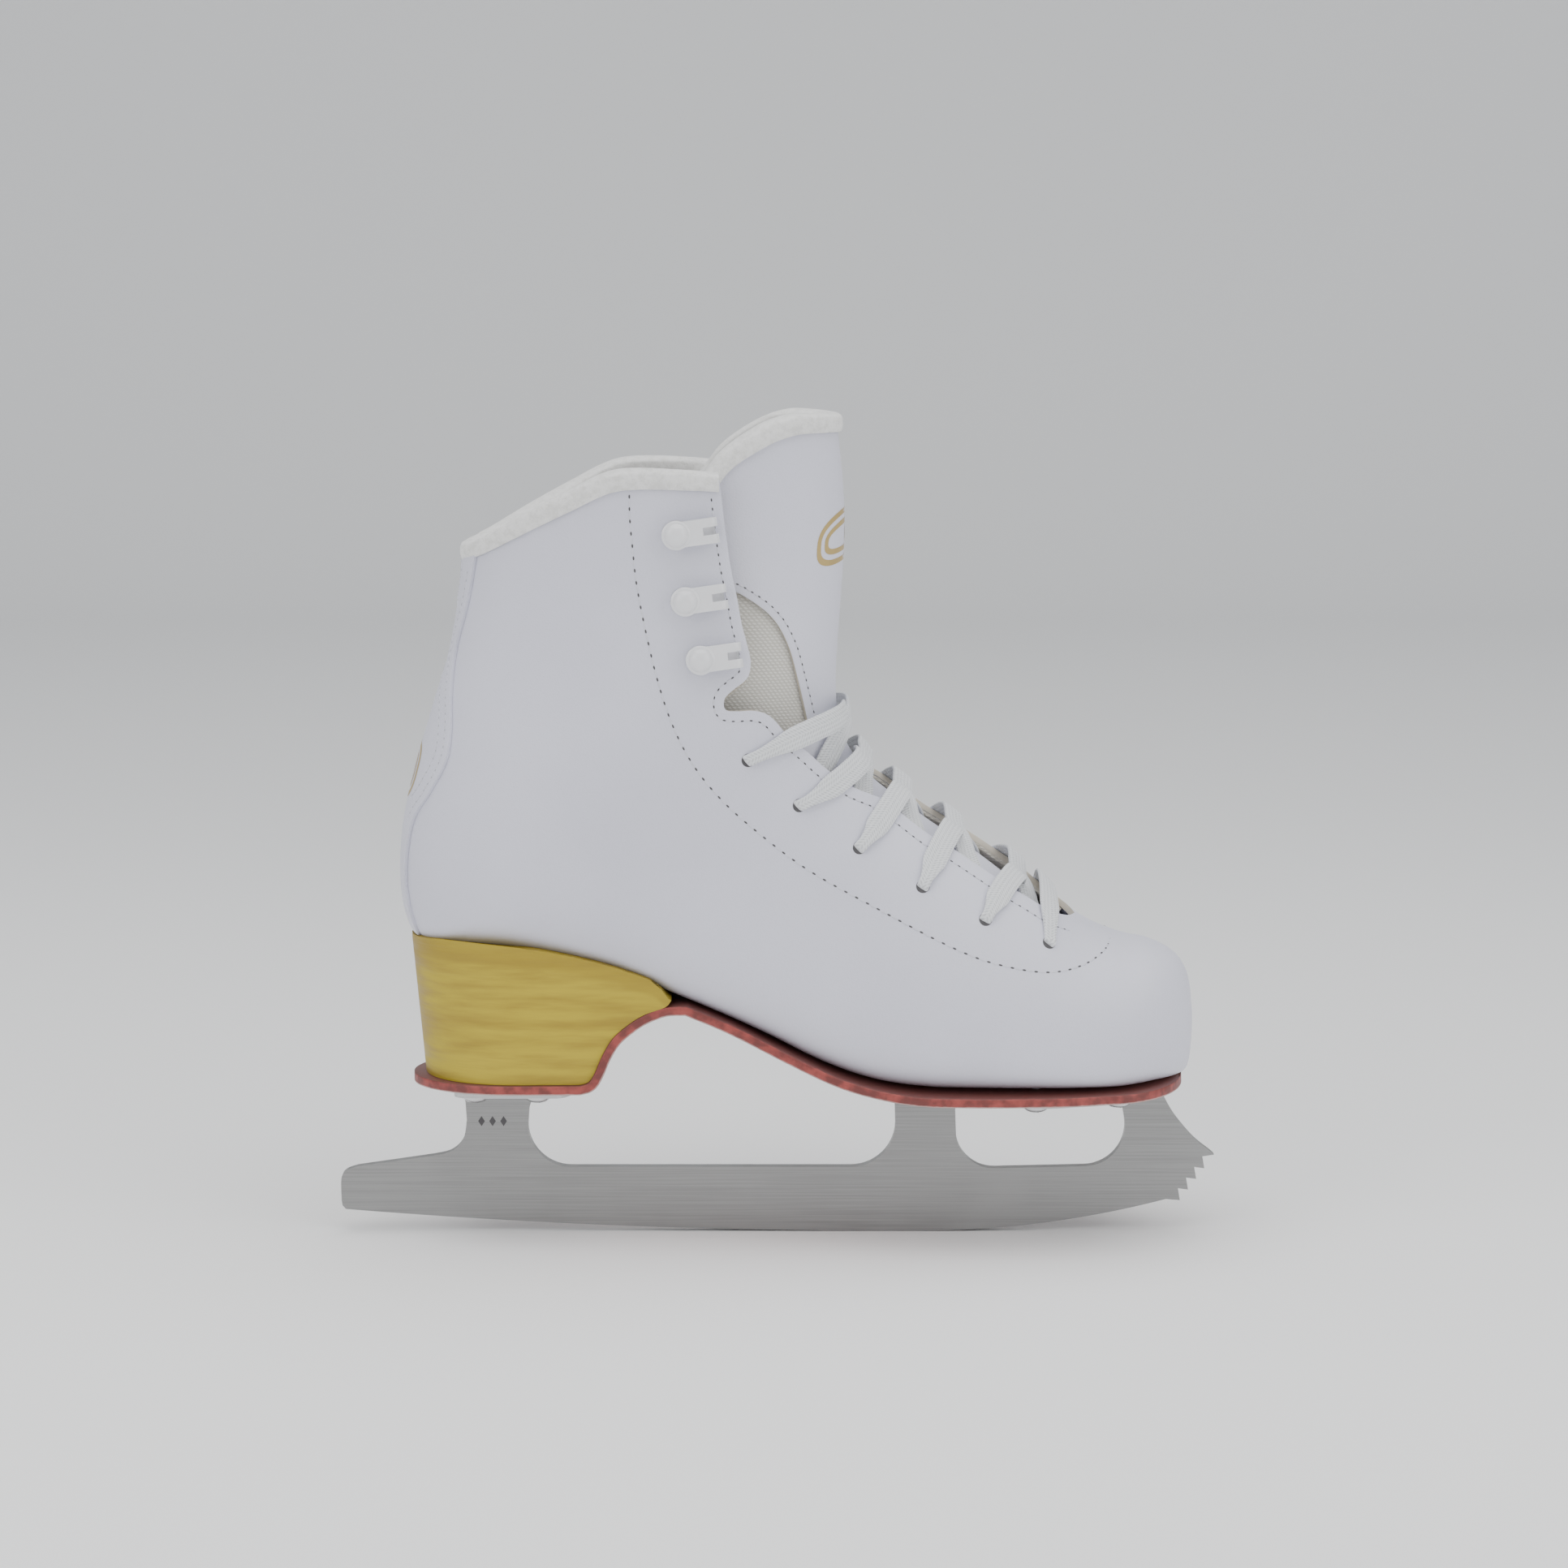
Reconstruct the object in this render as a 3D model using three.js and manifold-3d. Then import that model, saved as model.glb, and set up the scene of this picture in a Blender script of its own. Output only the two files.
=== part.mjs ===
// A right-foot figure skate: a laced leather boot on a heel and outsole, with a steel blade screwed on.
// Millimetres. +X is the toe, +Y the inner (medial) side, +Z up. Z 0 is the lowest point of the runner,
// and the runner's mid-plane is Y 0.
import * as THREE from "three";
import { mergeVertices } from "three/addons/utils/BufferGeometryUtils.js";
import Module from "manifold-3d";

const wasm = await Module();
wasm.setup();

// ---- driving dimensions -------------------------------------------------------------------------
const CLEAR = 0.3; // gap between pieces that touch
const BOOT_LENGTH = 256; // back of the upper to the tip of the toe
const DRAWN_LENGTH = 256; // length at which the outlines below are drawn
const BOOT_HALF_WIDTH = 42.3; // at the ball of the foot
const DRAWN_HALF_WIDTH = 42.3;
const SHAFT_STRETCH = 1; // height of the boot above its sole, against the height drawn below
const SHELL = 2.0; // outer leather
const STAY = 1.2; // strip inside each row of lace holes
const COUNTER = 1.8; // heel stiffener
const PUFF = 1.3; // toe stiffener
const PADDING = 3.0; // ankle foam
const LINING = 1.2;
const OVERLAY = 1.3; // back stay
const LACE_ROOM = 3.5; // between the stays and the tongue's face
const TONGUE_LEATHER = 1.4;
const TONGUE_PAD = 5.2;
const BINDING = 1.0; // bound edges of the collar and the tongue
const BINDING_REACH = 4.4; // how far a bound edge is covered
const BINDING_ROOM = 0.5; // gap between a binding and the edge inside it
const OUTSOLE = 3.0;
const BOARD = 2.3; // insole board
const FOOTBED = 3.4;
const SHANK_WIDTH = 13;
const SHANK = 1.4;
const HEEL_TAPER = 1.6; // how much narrower each side of the heel is at the floor
const HOLE_RADIUS = 3.0; // lace holes
const LACE_WIDTH = 8.5;
const LACE = 1.3;
const LACE_BUNCHED = 4.2; // width of the lace inside a hole
const BLADE = 4.0; // runner thickness
const PLATE = 2.2; // mounting plates
const ROCKER = 2140; // radius of the long curve of the runner
const FRONT_ROCKER = 302; // radius of its last part, under the ball of the foot
const HOLLOW = 0.16; // depth of the groove ground in the running edge
const SCREW_RADIUS = 1.7;
const SCREW_HEAD = 4.1;
const SCREW_HEAD_HEIGHT = 2.0;
const HOOK_WIDTH = 8;
const HOOK_SHEET = 1.0;
const HOOK_GAP = 2.8; // room for the lace between the base of a hook and its flap
const HOOK_REACH = 13.4; // rivet to fold
const HOOK_DOME = 4.7;
const RIVET_RADIUS = 1.8;

// depths below the outer surface of the boot where each layer starts and ends
const INNER_TOP = SHELL + CLEAR;
const STAY_BOTTOM = INNER_TOP + STAY;
const TONGUE_SEAT = STAY_BOTTOM + LACE_ROOM; // depth of the tongue's face below the outside of the boot
const PAD_BOTTOM = INNER_TOP + PADDING;
const LINING_TOP = PAD_BOTTOM + CLEAR;
const LINING_BOTTOM = LINING_TOP + LINING;
const TONGUE_PAD_TOP = TONGUE_SEAT + TONGUE_LEATHER + CLEAR;
const TONGUE_BOTTOM = TONGUE_PAD_TOP + TONGUE_PAD;
const LACE_UNDER = (STAY_BOTTOM + TONGUE_SEAT) / 2 - CLEAR; // lace below a row of holes
const LACE_OVER = -(LACE / 2 + 3.2 * CLEAR); // lace on top of it

const WHITE = 0xe4e5ee;
const PLUSH = 0xe9e8e2;
const STEEL = 0x9c9fa3;

// ---- solids ---------------------------------------------------------------------------------------
function solidOf(geometry) {
  const bare = geometry.index ? geometry.clone() : geometry;
  bare.deleteAttribute("normal");
  bare.deleteAttribute("uv");
  const merged = mergeVertices(bare, 1e-4);
  const make = (triVerts) => new wasm.Manifold(new wasm.Mesh({
    numProp: 3,
    vertProperties: new Float32Array(merged.attributes.position.array),
    triVerts,
  }));
  const triangles = new Uint32Array(merged.index.array);
  const solid = make(triangles);
  if (solid.volume() > 0) return solid;
  for (let i = 0; i < triangles.length; i += 3) {
    [triangles[i], triangles[i + 1]] = [triangles[i + 1], triangles[i]];
  }
  return make(triangles);
}

function geometryOf(solid) {
  const mesh = solid.getMesh();
  const points = new Float32Array((mesh.vertProperties.length / mesh.numProp) * 3);
  for (let i = 0; i < points.length / 3; i++) {
    for (let k = 0; k < 3; k++) points[3 * i + k] = mesh.vertProperties[i * mesh.numProp + k];
  }
  const geometry = new THREE.BufferGeometry();
  geometry.setAttribute("position", new THREE.BufferAttribute(points, 3));
  geometry.setIndex(new THREE.BufferAttribute(new Uint32Array(mesh.triVerts), 1));
  geometry.computeVertexNormals();
  return geometry;
}

const shapeOf = (points) => new THREE.Shape(points.map(([a, b]) => new THREE.Vector2(a, b)));

/** A side-view outline (X, Z) as a solid from y0 to y1. */
function sidePrism(points, y0 = -80, y1 = 80) {
  const geometry = new THREE.ExtrudeGeometry(shapeOf(points), { depth: y1 - y0, bevelEnabled: false });
  geometry.rotateX(Math.PI / 2);
  geometry.translate(0, y1, 0);
  return solidOf(geometry);
}

/** A plan outline (X, Y) as a solid from z0 to z1. */
function planPrism(points, z0, z1) {
  const geometry = new THREE.ExtrudeGeometry(shapeOf(points), { depth: z1 - z0, bevelEnabled: false });
  geometry.translate(0, 0, z0);
  return solidOf(geometry);
}

/** The main body of a cut, without the slivers that it leaves at sharp ends. */
function mainBody(solid) {
  const bodies = solid.decompose();
  return bodies.reduce((a, b) => (b.volume() > a.volume() ? b : a));
}

function boxSolid(x0, x1, y0, y1, z0, z1) {
  const geometry = new THREE.BoxGeometry(x1 - x0, y1 - y0, z1 - z0);
  geometry.translate((x0 + x1) / 2, (y0 + y1) / 2, (z0 + z1) / 2);
  return solidOf(geometry);
}

/** A closed mesh through rings of points that all have the same count, with flat ends. */
function ringSolid(rings) {
  const around = rings[0].length;
  const points = [];
  const index = [];
  for (const ring of rings) for (const p of ring) points.push(p.x, p.y, p.z);
  for (let i = 0; i + 1 < rings.length; i++) {
    for (let j = 0; j < around; j++) {
      const a = i * around + j;
      const b = i * around + ((j + 1) % around);
      index.push(a, b, a + around, b, b + around, a + around);
    }
  }
  for (const [i, flip] of [[0, false], [rings.length - 1, true]]) {
    const middle = new THREE.Vector3();
    for (const p of rings[i]) middle.addScaledVector(p, 1 / around);
    const m = points.length / 3;
    points.push(middle.x, middle.y, middle.z);
    for (let j = 0; j < around; j++) {
      const a = i * around + j;
      const b = i * around + ((j + 1) % around);
      if (flip) index.push(a, b, m);
      else index.push(b, a, m);
    }
  }
  const geometry = new THREE.BufferGeometry();
  geometry.setAttribute("position", new THREE.Float32BufferAttribute(points, 3));
  geometry.setIndex(index);
  return solidOf(geometry);
}

/** Revolves a profile of (radius, height) points and stands it at a place, with its height along n. */
function turned(profile, place, n, segments = 16) {
  const geometry = new THREE.LatheGeometry(profile.map(([r, h]) => new THREE.Vector2(r, h)), segments);
  geometry.applyQuaternion(new THREE.Quaternion().setFromUnitVectors(new THREE.Vector3(0, 1, 0), n));
  geometry.translate(place.x, place.y, place.z);
  return solidOf(geometry);
}

const pin = (radius, low, high, place, n, segments) =>
  turned([[0, low], [radius, low], [radius, high], [0, high]], place, n, segments);

// ---- outlines -------------------------------------------------------------------------------------
const HEEL_BACK = -120.9; // back of the upper at its fullest
const lengthwise = (x) => HEEL_BACK + ((x - HEEL_BACK) * BOOT_LENGTH) / DRAWN_LENGTH;
const across = (y) => (y * BOOT_HALF_WIDTH) / DRAWN_HALF_WIDTH;
const SHAFT_FOOT = 96; // heights above this one stretch with the shaft
const upward = (z) => (z < SHAFT_FOOT ? z : SHAFT_FOOT + (z - SHAFT_FOOT) * SHAFT_STRETCH);
const placed = (points) => points.map(([x, z]) => [lengthwise(x), upward(z)]);

/** A smooth height over X through a few points, as a function. */
function heightLine(points) {
  const p = points;
  return (x) => {
    if (x <= p[0][0]) return p[0][1];
    if (x >= p[p.length - 1][0]) return p[p.length - 1][1];
    let i = 0;
    while (x > p[i + 1][0]) i++;
    const slope = (k) => {
      const a = p[Math.max(k - 1, 0)];
      const b = p[Math.min(k + 1, p.length - 1)];
      return (b[1] - a[1]) / (b[0] - a[0]);
    };
    const w = p[i + 1][0] - p[i][0];
    const t = (x - p[i][0]) / w;
    const a = 2 * t ** 3 - 3 * t ** 2 + 1;
    const b = t ** 3 - 2 * t ** 2 + t;
    const c = t ** 3 - t ** 2;
    return a * p[i][1] + b * w * slope(i) + (1 - a) * p[i + 1][1] + c * w * slope(i + 1);
  };
}

function curvePoints(points, count) {
  const curve = new THREE.SplineCurve(points.map(([a, b]) => new THREE.Vector2(a, b)));
  return curve.getPoints(count).map((p) => [p.x, p.y]);
}

// top of the outsole and of the heel, where the upper sits, along the mid-plane
const featherPoints = placed([
  [-118, 95.6], [-100, 96.4], [-80, 94.5], [-60, 90.4], [-43, 85.1], [-29, 79.2], [-15, 73.4],
  [5, 63.6], [20, 57.1], [32, 54.0], [45, 52.4], [60, 52.2], [110, 52.4], [133, 53.2],
]);
const feather = heightLine(featherPoints);
const FLOOR_LINE = Array.from({ length: 21 }, (_, i) => {
  const x = featherPoints[0][0] + (i / 20) * (lengthwise(134) - featherPoints[0][0]);
  return [x, feather(x)];
});
/** Everything between two heights above the feather line. */
function floorBand(low, high) {
  const ends = [
    [lengthwise(-160), FLOOR_LINE[0][1]], ...FLOOR_LINE, [lengthwise(170), FLOOR_LINE[20][1]],
  ];
  const bottom = ends.map(([x, z]) => [x, z + low]);
  const top = ends.map(([x, z]) => [x, high === Infinity ? 400 : z + high]).reverse();
  return sidePrism([...bottom, ...top]);
}

// each station: foot of the section, its crest, half widths (outer side, inner side), the share of the
// height where it is widest, squareness below and above that, sideways lean of the crest, shift of the whole
const stations = [
  [[134.4, 61], [134.6, 77], [10, 10], 0.5, 2.2, 2.2, 0, 4],
  [[133.0, 54.6], [133.2, 85.5], [16.5, 16.5], 0.45, 2.6, 2.4, 0, 3.6],
  [[129, 53.2], [129, 91.6], [23.5, 23.5], 0.4, 3.4, 2.6, 0, 3],
  [[121, 52.9], [121, 95.6], [31, 31], 0.34, 4, 2.7, 0, 2],
  [[110, 52.4], [110, 98.2], [36.6, 37.2], 0.3, 4.5, 2.6, 0.5, 1],
  [[97, 52.4], [97, 104.6], [39.6, 41.2], 0.28, 4.5, 2.4, 2, 0],
  [[82, 52.3], [83, 118.6], [41.6, 42.3], 0.28, 4.5, 2.2, 4, 0],
  [[66, 52.2], [67, 131.2], [42.3, 41.2], 0.3, 4.5, 2.1, 5, 0],
  [[48, 52.3], [53, 140.6], [41.4, 38.6], 0.34, 4.5, 2.1, 5, 0],
  [[31, 54.2], [43.5, 147.8], [38.6, 35.6], 0.38, 4.4, 2.1, 4.6, 0],
  [[14, 59.6], [36.5, 153.2], [36, 33.4], 0.42, 4.2, 2.1, 4, 0],
  [[-6, 69.2], [32, 158.4], [34.4, 32.4], 0.44, 4, 2.2, 3.2, 0],
  [[-29, 79.2], [29, 163], [33.8, 32.4], 0.46, 4, 2.2, 2.4, 0],
  [[-56, 89.4], [27, 168], [34, 33.2], 0.48, 3.8, 2.3, 1.6, 0],
  [[-86, 95.3], [26, 174.4], [34.8, 34.2], 0.5, 3.4, 2.3, 0.8, 0],
  [[-105.5, 96.3], [25.8, 180.4], [35.2, 34.8], 0.5, 2.9, 2.3, 0, 0],
  [[-115, 98], [25.8, 185], [35.5, 35.2], 0.5, 2.6, 2.3, 0, 0],
  [[-119.3, 106], [26.1, 190], [35.8, 35.5], 0.5, 2.5, 2.3, 0, 0],
  [[-120.9, 119], [26.5, 196.4], [35.9, 35.7], 0.5, 2.4, 2.3, 0, 0],
  [[-119.7, 136], [27.1, 204.4], [35.4, 35.3], 0.5, 2.4, 2.3, 0, 0],
  [[-115.7, 153.5], [27.7, 213.4], [34.3, 34.3], 0.5, 2.4, 2.3, 0, 0],
  [[-110, 173], [28.3, 223.8], [33, 33], 0.5, 2.4, 2.3, 0, 0],
  [[-104.5, 191], [28.5, 234.6], [32, 32], 0.5, 2.4, 2.3, 0, 0],
  [[-101.3, 209], [28, 246], [31.4, 31.4], 0.5, 2.4, 2.3, 0, 0],
  [[-100, 225], [26.8, 258], [31.2, 31.2], 0.5, 2.4, 2.3, 0, 0],
  [[-99.6, 244], [24.8, 275], [31.2, 31.2], 0.5, 2.4, 2.3, 0, 0],
].map(([foot, crest, half, widest, square, round, lean, shift]) => [
  ...placed([foot])[0], ...placed([crest])[0],
  across(half[0]), across(half[1]), widest, square, round, lean, shift,
]);
const LAST = stations.length - 1;

function stationAt(u) {
  const i = Math.min(Math.floor(u), LAST - 1);
  const t = u - i;
  const at = (k) => stations[Math.min(Math.max(k, 0), LAST)];
  const [a, b, c, d] = [at(i - 1), at(i), at(i + 1), at(i + 2)];
  return b.map((_, k) => {
    const m0 = (c[k] - a[k]) / 2;
    const m1 = (d[k] - b[k]) / 2;
    const s = t * t * (3 - 2 * t);
    return b[k] * (1 - s) + c[k] * s + m0 * (t ** 3 - 2 * t ** 2 + t) + m1 * (t ** 3 - t ** 2);
  });
}

/** The outside of the boot: u runs from the toe up to the collar, v once round from the sole. */
function surface(u, v) {
  const [fx, fz, cx, cz, outer, inner, widest, square, round, lean, shift] = stationAt(u);
  const turn = ((v % 1) + 1) % 1;
  const side = turn < 0.5 ? -1 : 1;
  const t = turn < 0.5 ? turn * 2 : (1 - turn) * 2;
  const half = side < 0 ? outer : inner;
  let h;
  let y;
  if (t < 0.5) {
    const angle = t * Math.PI;
    h = widest * (1 - Math.cos(angle) ** (2 / square));
    y = half * Math.sin(angle) ** (2 / square);
  } else {
    const angle = (t - 0.5) * Math.PI;
    h = widest + (1 - widest) * Math.sin(angle) ** (2 / round);
    y = half * Math.max(Math.cos(angle), 0) ** (2 / round);
  }
  const place = side * y + lean * h * h + shift;
  return new THREE.Vector3(fx + (cx - fx) * h, place, fz + (cz - fz) * h);
}

function outward(u, v) {
  const e = 0.004;
  const low = Math.max(u - 0.02, 0);
  const high = Math.min(u + 0.02, LAST);
  const du = surface(high, v).sub(surface(low, v));
  const dv = surface(u, v + e).sub(surface(u, v - e));
  return dv.cross(du).normalize();
}

/** A point below the outside of the boot; the flat floor only moves sideways, so it stays where it is. */
function skin(u, v, depth) {
  const n = outward(u, v);
  n.z = Math.max(n.z, 0);
  return surface(u, v).addScaledVector(n, -depth);
}

// every layer has the same rings along the boot and points round it, so that the layers stay parallel
const RINGS = 22;
const AROUND = 16;
/** The whole boot, shrunk by a depth, as one closed body. */
function boot(depth) {
  const all = [];
  for (let i = 0; i <= RINGS; i++) {
    const u = (i / RINGS) * LAST;
    all.push(Array.from({ length: AROUND }, (_, j) => skin(u, j / AROUND, depth)));
  }
  return ringSolid(all);
}

const FLOOR_TRIM = 1.2; // clears the floor that two depths share
/** The wall between two depths, with no floor. */
function layer(top, bottom) {
  const core = boot(bottom);
  return boot(top).subtract(core).subtract(core.translate([0, 0, -FLOOR_TRIM]));
}

/** As skin, on the flat facets of the boot's layers, so that what lies on them is parallel to them. */
function onFacets(u, v, depth) {
  const along = Math.min((u / LAST) * RINGS, RINGS - 1e-6);
  const round = (((v % 1) + 1) % 1) * AROUND;
  const i = Math.floor(along);
  const j = Math.floor(round);
  const [fu, fv] = [along - i, round - j];
  const corner = (a, b) => skin(((i + a) / RINGS) * LAST, ((j + b) / AROUND) % 1, depth);
  const far = fu + fv > 1;
  const base = far ? corner(1, 1) : corner(0, 0);
  const b = corner(0, 1);
  const c = corner(1, 0);
  const [wb, wc] = far ? [1 - fu, 1 - fv] : [fv, fu];
  return base.multiplyScalar(1 - wb - wc).addScaledVector(b, wb).addScaledVector(c, wc);
}

/** u and v of the point of the boot's side that shows at X, Z; side -1 is the outer one. */
function seenAt(x, z, side) {
  const from = side < 0 ? 0.02 : 0.52;
  let best = [0, 0];
  let gap = Infinity;
  for (let i = 0; i <= 100; i++) {
    for (let j = 0; j <= 46; j++) {
      const u = (i / 100) * LAST;
      const v = from + j * 0.01;
      const p = surface(u, v);
      const far = (p.x - x) ** 2 + (p.z - z) ** 2;
      if (far < gap) {
        gap = far;
        best = [u, v];
      }
    }
  }
  let [u, v] = best;
  for (let k = 0; k < 12; k++) {
    const p = surface(u, v);
    const pu = surface(u + 1e-3, v).sub(p).multiplyScalar(1e3);
    const pv = surface(u, v + 1e-4).sub(p).multiplyScalar(1e4);
    const det = pu.x * pv.z - pu.z * pv.x;
    u += ((x - p.x) * pv.z - (z - p.z) * pv.x) / det;
    v += (pu.x * (z - p.z) - pu.z * (x - p.x)) / det;
  }
  return [u, v];
}

// top edge of the boot's leather, from the back to the front
const collarPoints = placed([
  [-112, 221.5], [-101, 224.6], [-94, 227.6], [-79, 236], [-66, 242.8], [-55, 248.2], [-47, 249.8],
  [-30, 249.4], [-14, 248],
]);
const collar = heightLine(collarPoints);

// front edge of the outer side: down the row of hooks, round the notch at the ankle, along the lace holes
const hookEdge = [[-18.4, 250], [-17.4, 241], [-16.2, 231], [-14.6, 220], [-12.8, 211.5], [-11.3, 203]];
const notchEdge = [
  [-9.6, 196.5], [-8.4, 190.5], [-9.6, 185.5], [-13.6, 182.3], [-16.6, 179.4], [-16.4, 175.8],
  [-12.6, 175.2], [-8, 175.3], [-4, 174.3], [-1, 172],
];
const laceEdge = [
  [3.3, 166.9], [10, 161], [15, 156.2], [22.8, 150.2], [33.6, 145], [40, 140.2], [48, 134.2],
  [55, 130], [66, 122.8], [74, 117.4], [80, 113.8], [86, 110], [91, 107.4], [96, 105.4],
];
// the long sewn line behind the lace holes, from the collar to the end of the throat
const sewnLine = [
  [-46.4, 252], [-46.5, 238], [-45.6, 227], [-44.4, 215.7], [-41.8, 202], [-38, 186], [-33.3, 171.6],
  [-27, 159], [-19, 148.5], [-8, 138], [10, 124.2], [34, 111], [58, 99.2], [72, 94.4], [86, 92],
  [97, 93.2], [105, 96.6], [108, 99.6],
];

/** The inner side of the foot is higher at the instep, so its edges are raised there. */
const INSTEP_RISE = 3.6;
function raised([x, z], side) {
  if (side < 0) return [x, z];
  const forward = THREE.MathUtils.smoothstep(x, lengthwise(-6), lengthwise(24));
  const toe = 1 - THREE.MathUtils.smoothstep(x, lengthwise(74), lengthwise(97));
  return [x, z + INSTEP_RISE * forward * toe];
}

const frontEdge = [...hookEdge, ...curvePoints(notchEdge, 12), ...laceEdge];
/** The open throat in front of the boot's edge, as a side-view outline. */
function throatOutline(side) {
  const edge = placed(frontEdge).map((p) => raised(p, side));
  const top = upward(330);
  return [[edge[0][0] + 1, top], ...edge, [lengthwise(98.5), upward(105)], [lengthwise(99), top]];
}
const throats = { "-1": throatOutline(-1), 1: throatOutline(1) };

const EDGE_SLACK = 1.1; // room above a bound edge, inside its binding
const aboveCollar = sidePrism([
  [-170, collar(-170)],
  ...Array.from({ length: 14 }, (_, i) => -115 + i * 8).map((x) => [lengthwise(x), collar(lengthwise(x))]),
  [lengthwise(10), collar(lengthwise(-6))], [lengthwise(10), 400], [-170, 400],
].map(([x, z]) => [x, z - EDGE_SLACK]));
const halfOf = (side) => (side < 0
  ? boxSolid(-200, 200, -90, -CLEAR / 2, -10, 420)
  : boxSolid(-200, 200, CLEAR / 2, 90, -10, 420));

// ---- lace holes and hooks ---------------------------------------------------------------------------
const holePoints = placed([[-9.2, 159.5], [7, 144.7], [26.1, 131], [46.3, 118.9], [66.2, 108.5], [86.6, 100.6]]);
const hookPoints = placed([[-31.8, 231], [-29, 210], [-24.4, 191.6]]);
const seats = (points, side) => points.map((p) => {
  const [x, z] = raised(p, side);
  const [u, v] = seenAt(x, z, side);
  return { u, v, place: onFacets(u, v, 0), n: outward(u, v) };
});
const holes = { "-1": seats(holePoints, -1), 1: seats(holePoints, 1) };
const hooks = { "-1": seats(hookPoints, -1), 1: seats(hookPoints, 1) };

const join = (solids) => solids.reduce((a, b) => a.add(b));
const holeCuts = (side) => join([
  ...holes[side].map((s) => pin(HOLE_RADIUS, -12, 8, s.place, s.n, 6)),
  ...hooks[side].map((s) => pin(RIVET_RADIUS + CLEAR, -12, 8, s.place, s.n, 6)),
]);

// ---- the parts ----------------------------------------------------------------------------------------
const skate = new THREE.Group();
function add(name, solid, color, roughness = 0.6, metalness = 0) {
  const material = new THREE.MeshStandardMaterial({ color, roughness, metalness });
  const mesh = new THREE.Mesh(geometryOf(mainBody(solid)), material);
  mesh.name = name;
  skate.add(mesh);
}
const sideName = (side) => (side < 0 ? "outer" : "inner");

// outer leather, one half on each side
const aboveFloor = floorBand(CLEAR, Infinity);
const aboveBoard = floorBand(CLEAR + BOARD + CLEAR, Infinity);
const shell = layer(0, SHELL).intersect(aboveFloor).subtract(aboveCollar);
for (const side of [-1, 1]) {
  const half = shell.intersect(halfOf(side)).subtract(sidePrism(throats[side])).subtract(holeCuts(side));
  add(`upper_${sideName(side)}`, half, WHITE, 0.45);
}

// stays behind the lace holes and hooks
const STAY_INSET = [0.8, 2.8]; // the stay stops short of the leather's front edge, back and down
const stayLayer = layer(INNER_TOP, STAY_BOTTOM).subtract(aboveCollar).intersect(aboveBoard);
const behindSewnLine = (side) => {
  const line = placed(sewnLine).map((p) => raised(p, side));
  return sidePrism([[line[0][0], 400], ...line, [lengthwise(150), upward(104)], [lengthwise(150), -10],
    [-200, -10], [-200, 400]]);
};
for (const side of [-1, 1]) {
  const stay = stayLayer
    .intersect(halfOf(side))
    .subtract(sidePrism(throats[side].map(([x, z]) => [x - STAY_INSET[0], z - STAY_INSET[1]])))
    .subtract(behindSewnLine(side))
    .subtract(holeCuts(side))
    .subtract(boxSolid(lengthwise(98), 200, -90, 90, -10, 400));
  add(`facing_stay_${sideName(side)}`, stay, 0xd9d6cb, 0.9);
}

// stiffeners under the leather
const COUNTER_TOP = upward(148);
const counter = layer(INNER_TOP, INNER_TOP + COUNTER)
  .intersect(aboveBoard)
  .intersect(boxSolid(-200, lengthwise(-62), -90, 90, -10, COUNTER_TOP));
add("heel_counter", counter, 0xb9a98a, 0.8);
const PUFF_START = lengthwise(104);
add("toe_puff", layer(INNER_TOP, INNER_TOP + PUFF).intersect(aboveBoard)
  .intersect(boxSolid(PUFF_START, 200, -90, 90, -10, 300)), 0xb9a98a, 0.8);

// ankle foam and lining
const padOutline = placed([
  [-103, 152], [-98, 151], [-70, 151], [-48, 156], [-52, 190], [-54, 215], [-56, 236], [-72, 236.5],
  [-90, 226], [-98, 219], [-100, 200], [-108, 172],
]);
const padLayer = layer(INNER_TOP, PAD_BOTTOM).subtract(aboveCollar.translate([PAD_BOTTOM, 0, 0]));
const liningLayer = layer(LINING_TOP, LINING_BOTTOM).subtract(aboveCollar.translate([LINING_BOTTOM, 0, 0]))
  .intersect(aboveBoard);
for (const side of [-1, 1]) {
  const pad = padLayer.intersect(halfOf(side)).intersect(sidePrism(padOutline));
  add(`ankle_pad_${sideName(side)}`, pad, 0xd8cfa8, 0.95);
  const lining = liningLayer.intersect(halfOf(side)).intersect(behindSewnLine(side));
  add(`lining_${sideName(side)}`, lining, 0xdedcd4, 0.95);
}

// back stay, laid over the back seam
const stayFront = [
  [-95.6, 223.5], [-98.3, 208.4], [-102.4, 193], [-103.8, 180], [-103.9, 167], [-105.5, 157.5],
  [-111, 147], [-116.2, 138.5], [-118.6, 128], [-119.2, 117], [-117.8, 107.5], [-115, 99.5], [-112, 95],
];
const backStay = layer(-CLEAR - OVERLAY, -CLEAR)
  .intersect(aboveFloor)
  .subtract(aboveCollar)
  .subtract(boxSolid(-200, 0, -90, 90, collar(lengthwise(-101)) - BINDING_REACH - CLEAR, 400))
  .intersect(sidePrism([[-160, upward(400)], [lengthwise(-95), upward(400)],
    ...curvePoints(placed(stayFront), 20), [-160, 60]]));
add("back_stay", backStay, WHITE, 0.45);

// ---- bound edges ---------------------------------------------------------------------------------------
/** Points along the line where the boot's surface reaches a height line, from one v to another. */
function edgeAlong(line, vFrom, vTo, count) {
  return Array.from({ length: count + 1 }, (_, i) => {
    const v = vFrom + ((vTo - vFrom) * i) / count;
    let low = LAST * 0.5;
    let high = LAST;
    for (let k = 0; k < 40; k++) {
      const u = (low + high) / 2;
      const p = surface(u, v);
      if (p.z < line(p.x)) low = u;
      else high = u;
    }
    return { u: low, v };
  });
}

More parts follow.
